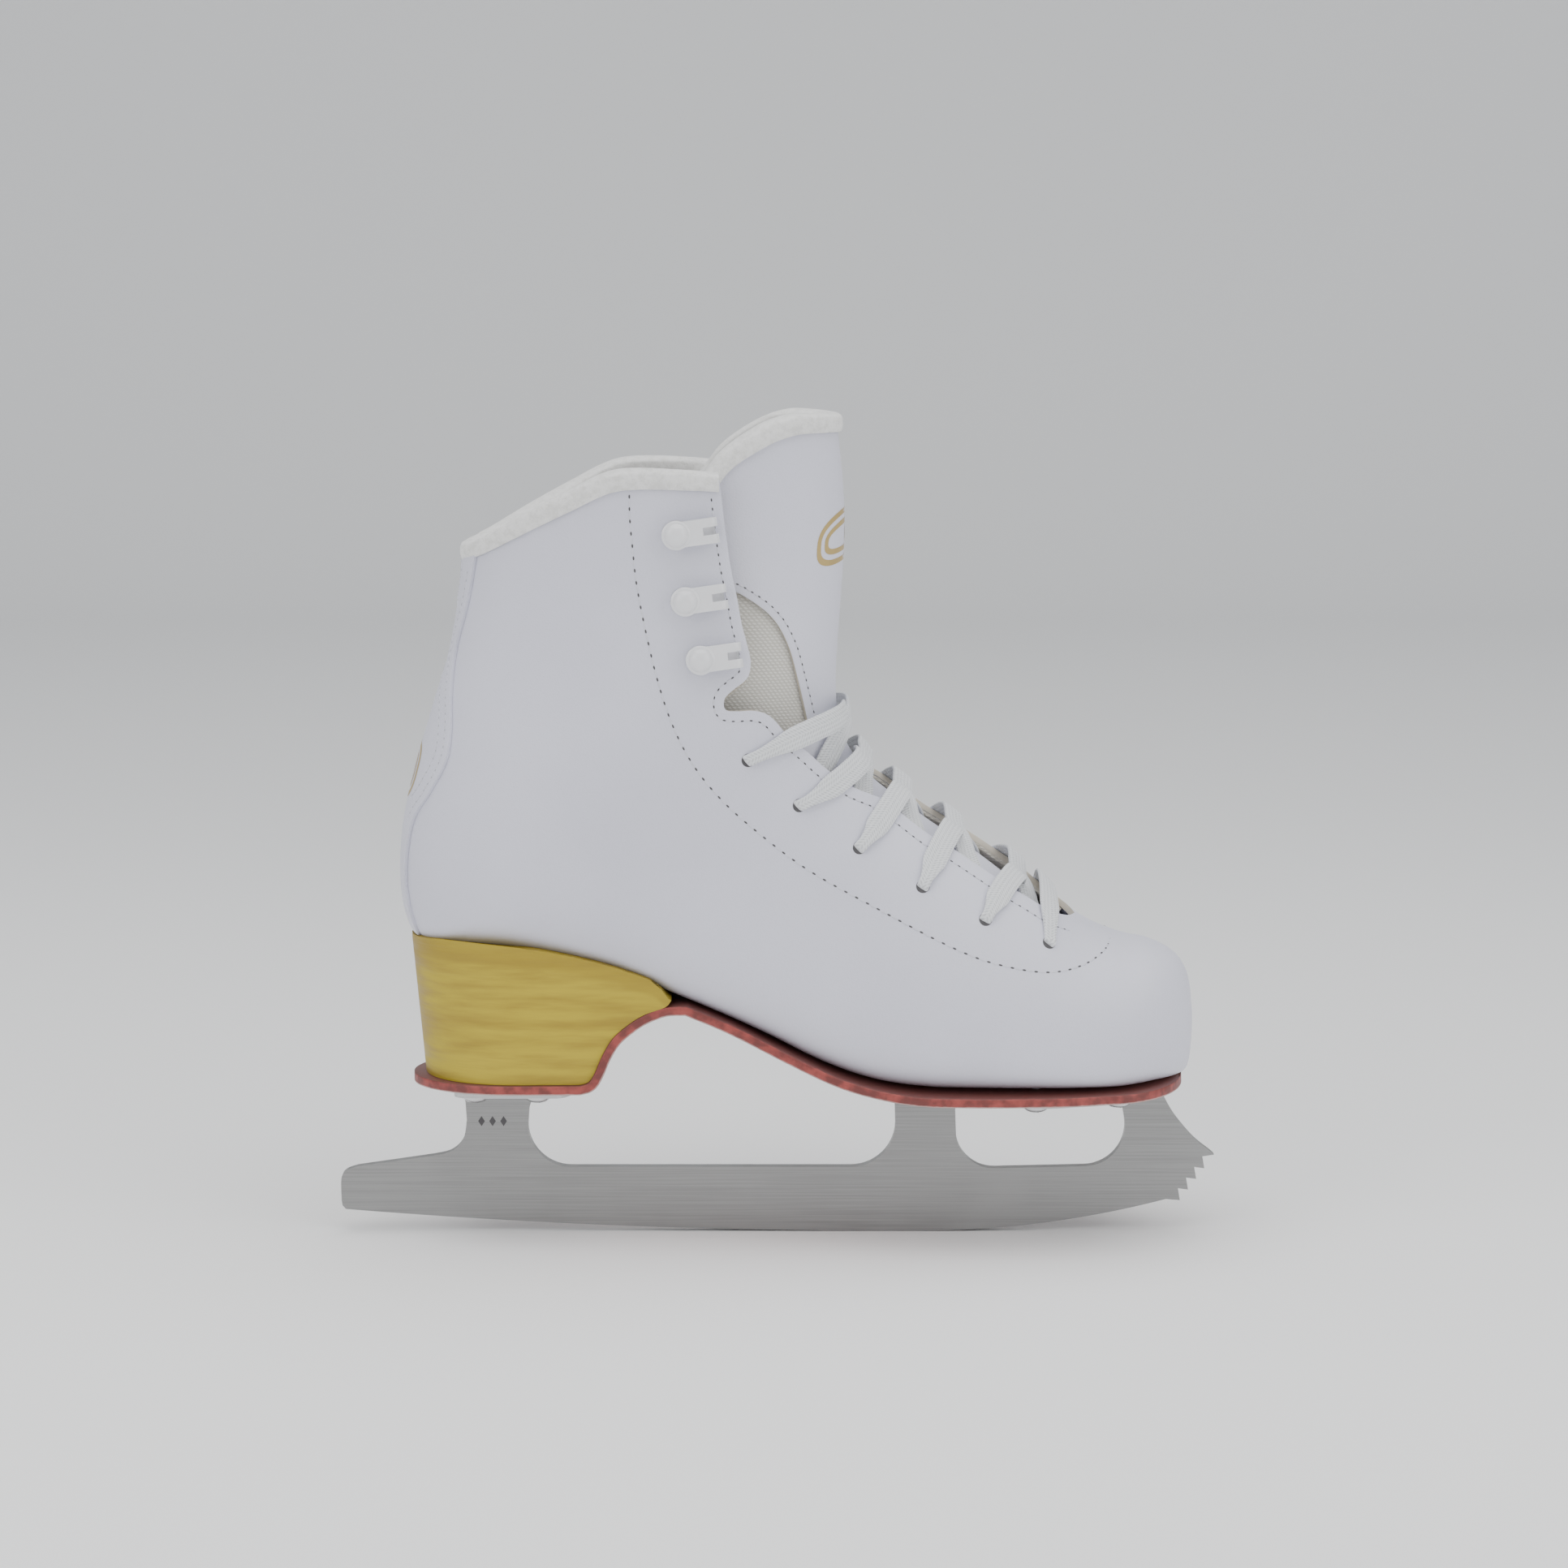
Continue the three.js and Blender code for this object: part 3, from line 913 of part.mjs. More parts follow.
/** One strand: out of hole a over its facing, across the throat and under the other facing to hole b. */
function strand(a, b, sideA, sideB, middleDepth, under) {
  const at = (t) => ({ u: a.u + (b.u - a.u) * t, v: a.v + (b.v - a.v) * t });
  const shows = (t, side) => {
    const { u, v } = at(t);
    const p = surface(u, v);
    return inOutline([p.x, p.z], throats[side]);
  };
  let leave = 0;
  while (!shows(leave, sideA) && leave < 0.5) leave += 0.005;
  let arrive = 1;
  while (!shows(arrive, sideB) && arrive > 0.5) arrive -= 0.005;
  const long = surface(a.u, a.v).distanceTo(surface(b.u, b.v));
  const over = leave + EDGE_MARGIN / long; // clear of the edge that it crosses on top
  const below = arrive - EDGE_MARGIN / long; // down before the edge that it passes under
  const s = THREE.MathUtils.smoothstep;
  const depthAt = (t) => {
    if (t < 0.5) return LACE_OVER + (middleDepth - LACE_OVER) * s(t, over, 0.5);
    return middleDepth + (under - middleDepth) * s(t, 0.5, Math.max(below, 0.52));
  };
  const points = [];
  const near = (mm) => mm / long;
  const span = (from, to, share) => from + (to - from) * share;
  const stops = [near(1.7), near(4.2), near(7.5), ...[1 / 3, 2 / 3, 1].map((k) => span(near(7.5), over, k)),
    span(over, 0.5, 0.5), 0.5, span(0.5, below, 0.5), ...[0, 1 / 3, 2 / 3].map((k) => span(below, 1 - near(7.5), k)),
    1 - near(7.5), 1 - near(4.2), 1 - near(1.7)];
  const sorted = stops.filter((t, i, all) => i === 0 || t > all[i - 1] + 0.012);
  points.push({ seat: a, depth: 1.5, width: LACE_BUNCHED });
  points.push({ seat: a, depth: LACE_OVER + 0.3, width: LACE_BUNCHED });
  for (const t of sorted) {
    const close = Math.min(t, 1 - t) * long;
    const spread = t < 0.5 ? 8 : 16; // it spreads more slowly under the leather
    const width = LACE_BUNCHED + (LACE_WIDTH - LACE_BUNCHED) * s(close, 1.5, spread);
    const lift = t < 0.3 ? -0.4 * (1 - s(t * long, 1.7, 6)) : t > 0.7 ? 0.2 * (1 - s((1 - t) * long, 1.7, 6)) : 0;
    points.push({ ...at(t), depth: depthAt(t) + lift, width });
  }
  points.push({ seat: b, depth: LACE_UNDER - 0.9, width: LACE_BUNCHED });
  return points;
}

const LACE_CROSS_LOW = LACE_UNDER;
const LACE_CROSS_HIGH = LACE_UNDER - LACE - CLEAR;
const order = [[-1, 0], [1, 1], [-1, 2], [1, 3], [-1, 4], [1, 5], [-1, 5], [1, 4], [-1, 3], [1, 2], [-1, 1], [1, 0]];
// the ends go back inside from the top holes, behind the tongue's wings, and down along the lining:
// X and Z in the side view, depth, width
const TAIL_DEPTH = LINING_BOTTOM + CLEAR + LACE + 1;
const TAIL_TIP_WIDTH = 3;
const tail = (side) => [
  [-17.5, 161.5, LACE_UNDER + 0.2, 5], [-23, 161, TAIL_DEPTH - 1.2, 6.5], [-31, 158, TAIL_DEPTH, LACE_WIDTH],
  [-39.5, 152, TAIL_DEPTH, LACE_WIDTH], [-47, 143, TAIL_DEPTH, 6], [-52, 132, TAIL_DEPTH, TAIL_TIP_WIDTH],
].map(([x, z, depth, width]) => {
  const [[px, pz]] = placed([[x, z]]).map((p) => raised(p, side));
  const [u, v] = seenAt(px, pz, side);
  return { u, v, depth, width };
});
const tails = { "-1": tail(-1), 1: tail(1) };
const laceRoute = [...tails[-1]].reverse();
laceRoute.push({ seat: holes[-1][0], depth: LACE_UNDER + 0.2, width: LACE_BUNCHED });
for (let i = 0; i + 1 < order.length; i++) {
  const [sideA, a] = order[i];
  const [sideB, b] = order[i + 1];
  if (a === b) {
    // the bar between the two lowest holes lies outside on both sides
    const bar = strand(holes[sideA][a], holes[sideB][b], sideA, sideB, LACE_OVER, LACE_OVER);
    bar.pop();
    bar.push({ seat: holes[sideB][b], depth: LACE_OVER + 0.3, width: LACE_BUNCHED });
    bar.push({ seat: holes[sideB][b], depth: 1.5, width: LACE_BUNCHED });
    laceRoute.push(...bar);
  } else if (a < b) {
    laceRoute.push(...strand(holes[sideA][a], holes[sideB][b], sideA, sideB,
      sideA < 0 ? LACE_CROSS_LOW : LACE_CROSS_HIGH, LACE_UNDER));
  } else {
    const back = strand(holes[sideB][b], holes[sideA][a], sideB, sideA,
      sideB < 0 ? LACE_CROSS_LOW : LACE_CROSS_HIGH, LACE_UNDER);
    laceRoute.push(...back.reverse());
  }
}

laceRoute.push({ seat: holes[1][0], depth: LACE_UNDER + 0.2, width: LACE_BUNCHED }, ...tails[1]);

const spotOf = (r) => (r.seat ? r.seat.place.clone().addScaledVector(r.seat.n, -r.depth)
  : onFacets(r.u, r.v, r.depth));
/** The flat lace as rings of four corners along its route. */
function laceRings(route) {
  const spots = route.map(spotOf);
  return route.map((r, i) => {
    const { u, v } = r.seat ?? r;
    const n = outward(u, v);
    const lengthways = surface(Math.min(u + 0.05, LAST), v).sub(surface(u, v)).normalize();
    const tangent = spots[Math.min(i + 1, spots.length - 1)].clone().sub(spots[Math.max(i - 1, 0)]).normalize();
    let wide = lengthways;
    if (!r.seat) {
      wide = n.clone().cross(tangent).normalize();
      if (wide.dot(lengthways) < 0) wide.negate();
    }
    wide = wide.clone().addScaledVector(tangent, -wide.dot(tangent)).normalize();
    const thick = tangent.clone().cross(wide).normalize();
    return [[-1, -1], [1, -1], [1, 1], [-1, 1]].map(([a, b]) => spots[i].clone()
      .addScaledVector(wide, (a * r.width) / 2).addScaledVector(thick, (b * LACE) / 2));
  });
}
add("lace", ringSolid(laceRings(laceRoute)), 0xf4f5f6, 0.85);
const TIP_LENGTH = 20;
const TIP_RADIUS = 1.7;
for (const side of [-1, 1]) {
  const [before, end] = tails[side].slice(-2).map(spotOf);
  const onward = end.clone().sub(before).normalize();
  add(`lace_tip_${sideName(side)}`, pin(TIP_RADIUS, CLEAR, CLEAR + TIP_LENGTH, end, onward, 8), 0xe8e8e6, 0.3);
}

export default skate;
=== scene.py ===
"""A right-foot figure skate: a white laced boot on a gold heel and a red outsole, with a steel blade.

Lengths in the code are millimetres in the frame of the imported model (+X to the toe, +Y to the inner side
of the foot, +Z up), and become metres where a mesh is made.
"""
from __future__ import annotations

import logging
import math
from dataclasses import dataclass, field
from enum import Enum
from typing import Callable, Sequence

import bmesh
import bpy
import numpy as np
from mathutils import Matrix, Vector

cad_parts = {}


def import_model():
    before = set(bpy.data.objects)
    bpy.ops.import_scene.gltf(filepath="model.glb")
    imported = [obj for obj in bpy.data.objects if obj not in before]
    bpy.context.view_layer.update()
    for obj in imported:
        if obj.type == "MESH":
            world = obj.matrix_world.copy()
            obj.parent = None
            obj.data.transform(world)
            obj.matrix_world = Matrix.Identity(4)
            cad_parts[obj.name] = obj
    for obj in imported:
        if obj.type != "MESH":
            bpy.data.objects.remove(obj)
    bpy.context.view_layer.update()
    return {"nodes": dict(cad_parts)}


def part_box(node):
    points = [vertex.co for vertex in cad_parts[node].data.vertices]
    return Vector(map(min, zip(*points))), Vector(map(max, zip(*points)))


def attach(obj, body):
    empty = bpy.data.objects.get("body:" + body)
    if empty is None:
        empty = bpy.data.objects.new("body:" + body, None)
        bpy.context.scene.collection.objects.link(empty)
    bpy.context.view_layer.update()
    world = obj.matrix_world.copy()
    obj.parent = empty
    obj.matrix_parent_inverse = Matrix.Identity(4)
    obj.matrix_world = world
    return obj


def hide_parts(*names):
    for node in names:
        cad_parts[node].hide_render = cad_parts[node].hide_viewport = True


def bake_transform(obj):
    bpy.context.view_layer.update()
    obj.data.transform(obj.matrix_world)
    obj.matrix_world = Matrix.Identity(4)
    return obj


MM = 0.001
SHARP_ANGLE = 38
LOG = logging.getLogger("skate")
Line = list[tuple[float, float]]
BOOT = "boot"
TONGUE = "tongue_top"


class Side(Enum):
    """The two sides of the foot."""

    OUTER = -1
    INNER = 1

    @property
    def word(self) -> str:
        """The side's name, as the nodes spell it."""
        return self.name.lower()

    def turn(self, share: np.ndarray) -> np.ndarray:
        """A share of a turn up the outer side, or its mirror up the inner one."""
        return share if self is Side.OUTER else 1 - share


# ---- mesh tools ------------------------------------------------------------------------------------

def linked(name: str, data: bpy.types.ID) -> bpy.types.Object:
    """Makes an object of some data and links it to the scene."""
    made = bpy.data.objects.new(name, data)
    bpy.context.scene.collection.objects.link(made)
    return made


def mesh_object(name: str, points: np.ndarray, faces: Sequence[Sequence[int]]) -> bpy.types.Object:
    """Makes a smooth-shaded mesh object.

    Args:
        points: N by 3 points in millimetres.
        faces: Corner indices of each face.
    """
    mesh = bpy.data.meshes.new(name)
    mesh.from_pydata((np.asarray(points, float) * MM).tolist(), [], [list(f) for f in faces])
    mesh.validate()
    made = linked(name, mesh)
    tidy_normals(made)
    return made


def tidy_normals(made: bpy.types.Object, weld: float = 1e-6) -> None:
    """Welds a mesh, turns its faces outwards and shades it smooth up to an angle.

    Args:
        weld: Distance in metres within which points are merged.
    """
    work = bmesh.new()
    work.from_mesh(made.data)
    bmesh.ops.remove_doubles(work, verts=work.verts, dist=weld)
    bmesh.ops.recalc_face_normals(work, faces=work.faces)
    work.to_mesh(made.data)
    work.free()
    made.data.shade_smooth()
    made.data.set_sharp_from_angle(angle=math.radians(SHARP_ANGLE))


def grid_faces(rows: int, columns: int, start: int = 0, closed: bool = False) -> list[list[int]]:
    """Quads of a grid of points stored row by row.

    Args:
        rows: Number of rows of points.
        columns: Number of points in a row.
        start: Index of the first point.
        closed: Whether the last point of a row joins its first.
    """
    faces = []
    for i in range(rows - 1):
        for j in range(columns if closed else columns - 1):
            a, b = start + i * columns + j, start + i * columns + (j + 1) % columns
            faces.append([a, b, b + columns, a + columns])
    return faces


def loft(name: str, rings: np.ndarray) -> bpy.types.Object:
    """A closed body through rings of points, with flat ends.

    Args:
        rings: Array of rings, rows by points by 3, in millimetres.
    """
    rows, columns = rings.shape[:2]
    faces = grid_faces(rows, columns, closed=True)
    faces.append(list(range(columns))[::-1])
    faces.append([(rows - 1) * columns + j for j in range(columns)])
    return mesh_object(name, rings.reshape(-1, 3), faces)


def turned(name: str, profile: Line, place: np.ndarray, axis: np.ndarray,
           segments: int = 40) -> bpy.types.Object:
    """Revolves a profile of (radius, height) points about an axis.

    Args:
        profile: The profile, from one end of the axis to the other.
        place: Where height 0 is.
        axis: Direction of the height.
        segments: Number of steps around.
    """
    axis = axis / np.linalg.norm(axis)
    first = np.cross(axis, [0.31, 0.95, 0.12])
    first /= np.linalg.norm(first)
    second = np.cross(axis, first)
    turn = np.linspace(0, 2 * np.pi, segments, endpoint=False)
    spokes = np.cos(turn)[:, None] * first + np.sin(turn)[:, None] * second
    rings = np.array([place + max(r, 1e-3) * spokes + h * axis for r, h in profile])
    return loft(name, rings)


def extruded(name: str, outline: Line, low: float, high: float) -> bpy.types.Object:
    """A side-view outline (X, Z) as a body between two values of Y.

    Args:
        outline: The outline, without its first point repeated.
        low: The lower Y.
        high: The higher Y.
    """
    count = len(outline)
    points = [(x, y, z) for y in (low, high) for x, z in outline]
    faces = [[i, (i + 1) % count, (i + 1) % count + count, i + count] for i in range(count)]
    faces += [list(range(count))[::-1], list(range(count, 2 * count))]
    return mesh_object(name, np.array(points), faces)


def modifier(made: bpy.types.Object, kind: str, **values: object) -> None:
    """Adds a modifier and sets its values."""
    added = made.modifiers.new(kind.lower(), kind)
    for key, value in values.items():
        setattr(added, key, value)


def rounded(made: bpy.types.Object, width: float, segments: int = 2, angle: float = 45) -> None:
    """Rounds the sharp edges of an object, by a width in millimetres."""
    modifier(made, "BEVEL", width=width * MM, segments=segments, limit_method="ANGLE",
             angle_limit=math.radians(angle), harden_normals=False)


def sheeted(made: bpy.types.Object, thickness: float, edge: float = 0.4, rim: int = 0) -> None:
    """Gives a surface its thickness, inwards, with rounded edges.

    Args:
        thickness: In millimetres.
        edge: Radius of its edges in millimetres.
        rim: Offset of the material slot that its cut edge takes.
    """
    modifier(made, "SOLIDIFY", thickness=thickness * MM, offset=-1.0, use_even_offset=False,
             material_offset_rim=rim)
    rounded(made, edge, 2, 60)


def bound(made: bpy.types.Object, body: str, slot: str, *nodes: str) -> bpy.types.Object:
    """Makes a piece ride on a body, hides the nodes that it stands for and logs the body that it rides on."""
    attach(made, body)
    if nodes:
        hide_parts(*nodes)
    LOG.info("%s rides on %s", made.name, body)
    return made


def settled(made: bpy.types.Object) -> bpy.types.Object:
    """Applies an object's modifiers, so that its mesh is final."""
    bpy.context.view_layer.update()
    mesh = bpy.data.meshes.new_from_object(made.evaluated_get(bpy.context.evaluated_depsgraph_get()))
    made.modifiers.clear()
    made.data = mesh
    return made


def smooth_line(points: Line, steps: int = 8) -> Line:
    """A uniform Catmull-Rom curve through points.

    Args:
        steps: Number of steps between two of them.
    """
    p = np.array([points[0], *points, points[-1]], float)
    out = []
    for i in range(len(points) - 1):
        a, b, c, d = p[i:i + 4]
        for k in range(steps):
            t = k / steps
            out.append(tuple(0.5 * (2 * b + (c - a) * t + (2 * a - 5 * b + 4 * c - d) * t ** 2
                                    + (3 * b - a - 3 * c + d) * t ** 3)))
    return [*out, tuple(points[-1])]


def set_off(points: Line, distance: float) -> Line:
    """A line moved sideways, to its left, by a distance."""
    p = np.array(points, float)
    along = np.gradient(p, axis=0)
    along /= np.linalg.norm(along, axis=1)[:, None]
    return [tuple(q) for q in p + distance * np.stack([-along[:, 1], along[:, 0]], axis=1)]


def run_along(points: np.ndarray) -> np.ndarray:
    """The length of a polyline up to each of its points."""
    return np.concatenate([[0], np.cumsum(np.linalg.norm(np.diff(points, axis=0), axis=1))])


def store(made: bpy.types.Object, name: str, values: Sequence[float]) -> None:
    """Stores a value on each point of a mesh, if no point was welded away."""
    if len(made.data.vertices) == len(values):
        made.data.attributes.new(name, "FLOAT", "POINT").data.foreach_set("value", values)
    else:
        LOG.warning("%s was welded: %d of %d points", made.name, len(made.data.vertices), len(values))


def spaced(points: np.ndarray, step: float) -> np.ndarray:
    """Points at an even step along a polyline of any dimension."""
    length = run_along(points)
    count = max(int(round(length[-1] / step)), 1)
    at = np.linspace(0, length[-1], count + 1)
    return np.stack([np.interp(at, length, points[:, k]) for k in range(points.shape[1])], axis=1)


def height_line(points: Line) -> Callable[[np.ndarray], np.ndarray]:
    """A smooth height over X through a few points."""
    x = np.array([p[0] for p in points], float)
    z = np.array([p[1] for p in points], float)
    slope = np.gradient(z, x)
    slope[1:-1] = (z[2:] - z[:-2]) / (x[2:] - x[:-2])

    def height(at: np.ndarray) -> np.ndarray:
        """The height at X."""
        at = np.clip(np.asarray(at, float), x[0], x[-1])
        i = np.clip(np.searchsorted(x, at, side="right") - 1, 0, len(x) - 2)
        w = x[i + 1] - x[i]
        t = (at - x[i]) / w
        a = 2 * t ** 3 - 3 * t ** 2 + 1
        return (a * z[i] + (1 - a) * z[i + 1] + (t ** 3 - 2 * t ** 2 + t) * w * slope[i]
                + (t ** 3 - t ** 2) * w * slope[i + 1])

    return height


def enclosed(x: np.ndarray, z: np.ndarray, outline: Line) -> np.ndarray:
    """Whether points lie inside a closed outline, by the even-odd rule."""
    inside = np.zeros(np.shape(x), bool)
    p = np.array(outline, float)
    for (xa, za), (xb, zb) in zip(p, np.roll(p, 1, axis=0)):
        crosses = (za > z) != (zb > z)
        with np.errstate(divide="ignore", invalid="ignore"):
            hit = x < (xb - xa) * (z - za) / (zb - za) + xa
        inside ^= crosses & hit
    return inside


def ease(x: np.ndarray, low: float, high: float) -> np.ndarray:
    """A smooth step from 0 at low to 1 at high."""
    t = np.clip((np.asarray(x, float) - low) / (high - low), 0, 1)
    return t * t * (3 - 2 * t)


# ---- materials -------------------------------------------------------------------------------------

class Shader:
    """A material's node tree, with short ways to add to it."""

    def __init__(self, name: str) -> None:
        """Starts an empty material with a principled shader."""
        self.material = bpy.data.materials.new(name)
        self.material.use_nodes = True
        self.tree = self.material.node_tree
        self.body = self.tree.nodes["Principled BSDF"]
        self.place = self.node("ShaderNodeTexCoord").outputs["Object"]

    def node(self, kind: str, **values: object) -> bpy.types.Node:
        """Adds a node and sets its properties."""
        made = self.tree.nodes.new(kind)
        for key, value in values.items():
            setattr(made, key, value)
        return made

    def feed(self, source: object, socket: bpy.types.NodeSocket) -> None:
        """Links a socket, or sets a plain value."""
        if isinstance(source, bpy.types.NodeSocket):
            self.tree.links.new(source, socket)
        else:
            socket.default_value = source

    def noise(self, scale: float, detail: float = 3, stretch: tuple[float, float, float] = (1, 1, 1),
              place: bpy.types.NodeSocket | None = None) -> bpy.types.NodeSocket:
        """Noise over the object, in cycles a metre, stretched along its axes."""
        mapping = self.node("ShaderNodeMapping")
        self.feed(place or self.place, mapping.inputs["Vector"])
        mapping.inputs["Scale"].default_value = stretch
        made = self.node("ShaderNodeTexNoise")
        self.feed(mapping.outputs[0], made.inputs["Vector"])
        made.inputs["Scale"].default_value = scale
        made.inputs["Detail"].default_value = detail
        return made.outputs["Fac"]

    def cells(self, scale: float) -> bpy.types.NodeSocket:
        """Distance to the nearest cell centre, in cells a metre."""
        made = self.node("ShaderNodeTexVoronoi")
        self.feed(self.place, made.inputs["Vector"])
        made.inputs["Scale"].default_value = scale
        return made.outputs["Distance"]

    def wave(self, scale: float, axis: str, distortion: float = 0.0,
             place: bpy.types.NodeSocket | None = None) -> bpy.types.NodeSocket:
        """Bands along an axis."""
        made = self.node("ShaderNodeTexWave", wave_type="BANDS", bands_direction=axis)
        self.feed(place or self.place, made.inputs["Vector"])
        made.inputs["Scale"].default_value = scale
        made.inputs["Distortion"].default_value = distortion
        return made.outputs["Fac"]

    def ramp(self, source: bpy.types.NodeSocket, low: float, high: float,
             out: tuple[float, float] = (0, 1)) -> bpy.types.NodeSocket:
        """A clamped smooth step from low to high."""
        made = self.node("ShaderNodeMapRange", interpolation_type="SMOOTHSTEP", clamp=True)
        self.feed(source, made.inputs["Value"])
        for key, value in (("From Min", low), ("From Max", high), ("To Min", out[0]), ("To Max", out[1])):
            made.inputs[key].default_value = value
        return made.outputs["Result"]

    def math(self, kind: str, a: object, b: object = 0.0) -> bpy.types.NodeSocket:
        """A maths node of two values."""
        made = self.node("ShaderNodeMath", operation=kind)
        self.feed(a, made.inputs[0])
        self.feed(b, made.inputs[1])
        return made.outputs[0]

    def blend(self, share: object, a: object, b: object) -> bpy.types.NodeSocket:
        """A mix of two colours."""
        made = self.node("ShaderNodeMix", data_type="RGBA")
        colours = [s for s in made.inputs if s.type == "RGBA"]
        factor = next(s for s in made.inputs if s.type == "VALUE")
        self.feed(share, factor)
        for value, socket in zip((a, b), colours):
            self.feed((*value, 1) if isinstance(value, tuple) else value, socket)
        return next(s for s in made.outputs if s.type == "RGBA")

    def axis(self, name: str) -> bpy.types.NodeSocket:
        """One coordinate of the place on the object."""
        split = self.node("ShaderNodeSeparateXYZ")
        self.feed(self.place, split.inputs[0])
        return split.outputs[name]

    def named(self, attribute: str) -> bpy.types.NodeSocket:
        """A value stored on the mesh's points."""
        return self.node("ShaderNodeAttribute", attribute_name=attribute).outputs["Fac"]

    def relief(self, height: bpy.types.NodeSocket, depth: float,
               under: object = None) -> bpy.types.NodeSocket:
        """A bump of a depth in millimetres, on top of another."""
        made = self.node("ShaderNodeBump")
        self.feed(height, made.inputs["Height"])
        made.inputs["Distance"].default_value = depth * MM
        made.inputs["Strength"].default_value = 1.0
        if under is not None:
            self.feed(under, made.inputs["Normal"])
        return made.outputs["Normal"]

    def finish(self, colour: object, roughness: object, normal: object = None, metallic: float = 0.0,
               sheen: float = 0.0, coat: float = 0.0, specular: float = 0.5) -> bpy.types.Material:
        """Feeds the shader and returns the material.

        Args:
            colour: A colour or a socket.
            roughness: A value or a socket.
            normal: A bump's socket, if any.
            metallic: 1 on bare metal.
            sheen: Weight of a cloth's sheen.
            coat: Weight of a clear coat.
            specular: Specular level.
        """
        self.feed((*colour, 1) if isinstance(colour, tuple) else colour, self.body.inputs["Base Color"])
        self.feed(roughness, self.body.inputs["Roughness"])
        if normal is not None:
            self.feed(normal, self.body.inputs["Normal"])
        self.body.inputs["Metallic"].default_value = metallic
        self.body.inputs["Sheen Weight"].default_value = sheen
        self.body.inputs["Coat Weight"].default_value = coat
        self.body.inputs["Specular IOR Level"].default_value = specular
        return self.material


Colour = tuple[float, float, float]


@dataclass(frozen=True)
class Leather:
    """Coated leather with a fine, almost flat grain."""

    name: str = "white_leather"
    colour: Colour = (0.70, 0.70, 0.79)
    shade: Colour = (0.655, 0.655, 0.745)
    grain: float = 0.035
    roughness: float = 0.46

    def build(self) -> bpy.types.Material:
        """Makes the material."""
        s = Shader(self.name)
        patch = s.ramp(s.noise(14, 2), 0.35, 0.7)
        fine = s.noise(2400, 2)
        pores = s.ramp(s.cells(1300), 0.0, 0.55)
        soft = s.relief(s.noise(36, 2), 0.25)
        normal = s.relief(s.math("ADD", pores, fine), self.grain, soft)
        colour = s.blend(patch, self.colour, self.shade)
        rough = s.ramp(s.noise(60, 3), 0.3, 0.7, (self.roughness - 0.04, self.roughness + 0.05))
        return s.finish(colour, rough, normal, specular=0.42)


@dataclass(frozen=True)
class Plush:
    """Short soft pile on a tape."""

    name: str = "plush_tape"
    colour: Colour = (0.82, 0.815, 0.80)
    shade: Colour = (0.70, 0.695, 0.675)

    def build(self) -> bpy.types.Material:
        """Makes the material."""
        s = Shader(self.name)
        tufts = s.noise(1500, 4)
        clumps = s.noise(420, 3)
        height = s.math("ADD", s.math("MULTIPLY", tufts, 0.6), clumps)
        return s.finish(s.blend(s.ramp(height, 0.55, 0.95), self.shade, self.colour), 0.95,
                        s.relief(height, 0.2), sheen=0.35, specular=0.15)


@dataclass(frozen=True)
class Knit:
    """Cloth with crossing yarns along two of the object's axes."""

    name: str
    colour: Colour
    shade: Colour
    pitch: float
    depth: float = 0.25
    axes: tuple[str, str] = ("DIAGONAL", "Z")

    def build(self) -> bpy.types.Material:
        """Makes the material; pitch is the distance between yarns in millimetres."""
        s = Shader(self.name)
        scale = 1000 / self.pitch / (2 * math.pi) * 2
        first = s.wave(scale, self.axes[0], 0.6)
        second = s.wave(scale, self.axes[1], 0.6)
        height = s.math("MULTIPLY", first, second)
        fuzz = s.noise(2600, 3)
        normal = s.relief(height, self.depth, s.relief(fuzz, 0.08))
        return s.finish(s.blend(s.ramp(s.math("ADD", height, s.math("MULTIPLY", fuzz, 0.25)), 0.1, 0.75),
                                self.shade, self.colour), 0.9, normal, sheen=0.2, specular=0.2)


@dataclass(frozen=True)
class Ribbed:
    """Flat woven lace: ribs across its width, drawn on the lace's own length and width."""

    name: str = "woven_lace"
    colour: Colour = (0.80, 0.815, 0.83)
    shade: Colour = (0.60, 0.61, 0.63)
    rib: float = 1.05

    def build(self) -> bpy.types.Material:
        """Makes the material; rib is the distance between ribs in millimetres."""
        s = Shader(self.name)
        along, across = s.named("along"), s.named("across")
        chevron = s.math("ADD", along, s.math("MULTIPLY", s.math("ABSOLUTE", across), 0.8))
        weave = s.math("SINE", s.math("MULTIPLY", chevron, 2 * math.pi / self.rib))
        cords = s.math("SINE", s.math("MULTIPLY", across, 2 * math.pi / 1.4))
        height = s.math("ADD", s.math("MULTIPLY", weave, 0.5), s.math("MULTIPLY", cords, 0.35))
        normal = s.relief(height, 0.14, s.relief(s.noise(2500, 2), 0.05))
        colour = s.blend(s.ramp(height, -0.8, 0.3), self.shade, self.colour)
        return s.finish(colour, 0.85, normal, sheen=0.2, specular=0.2)


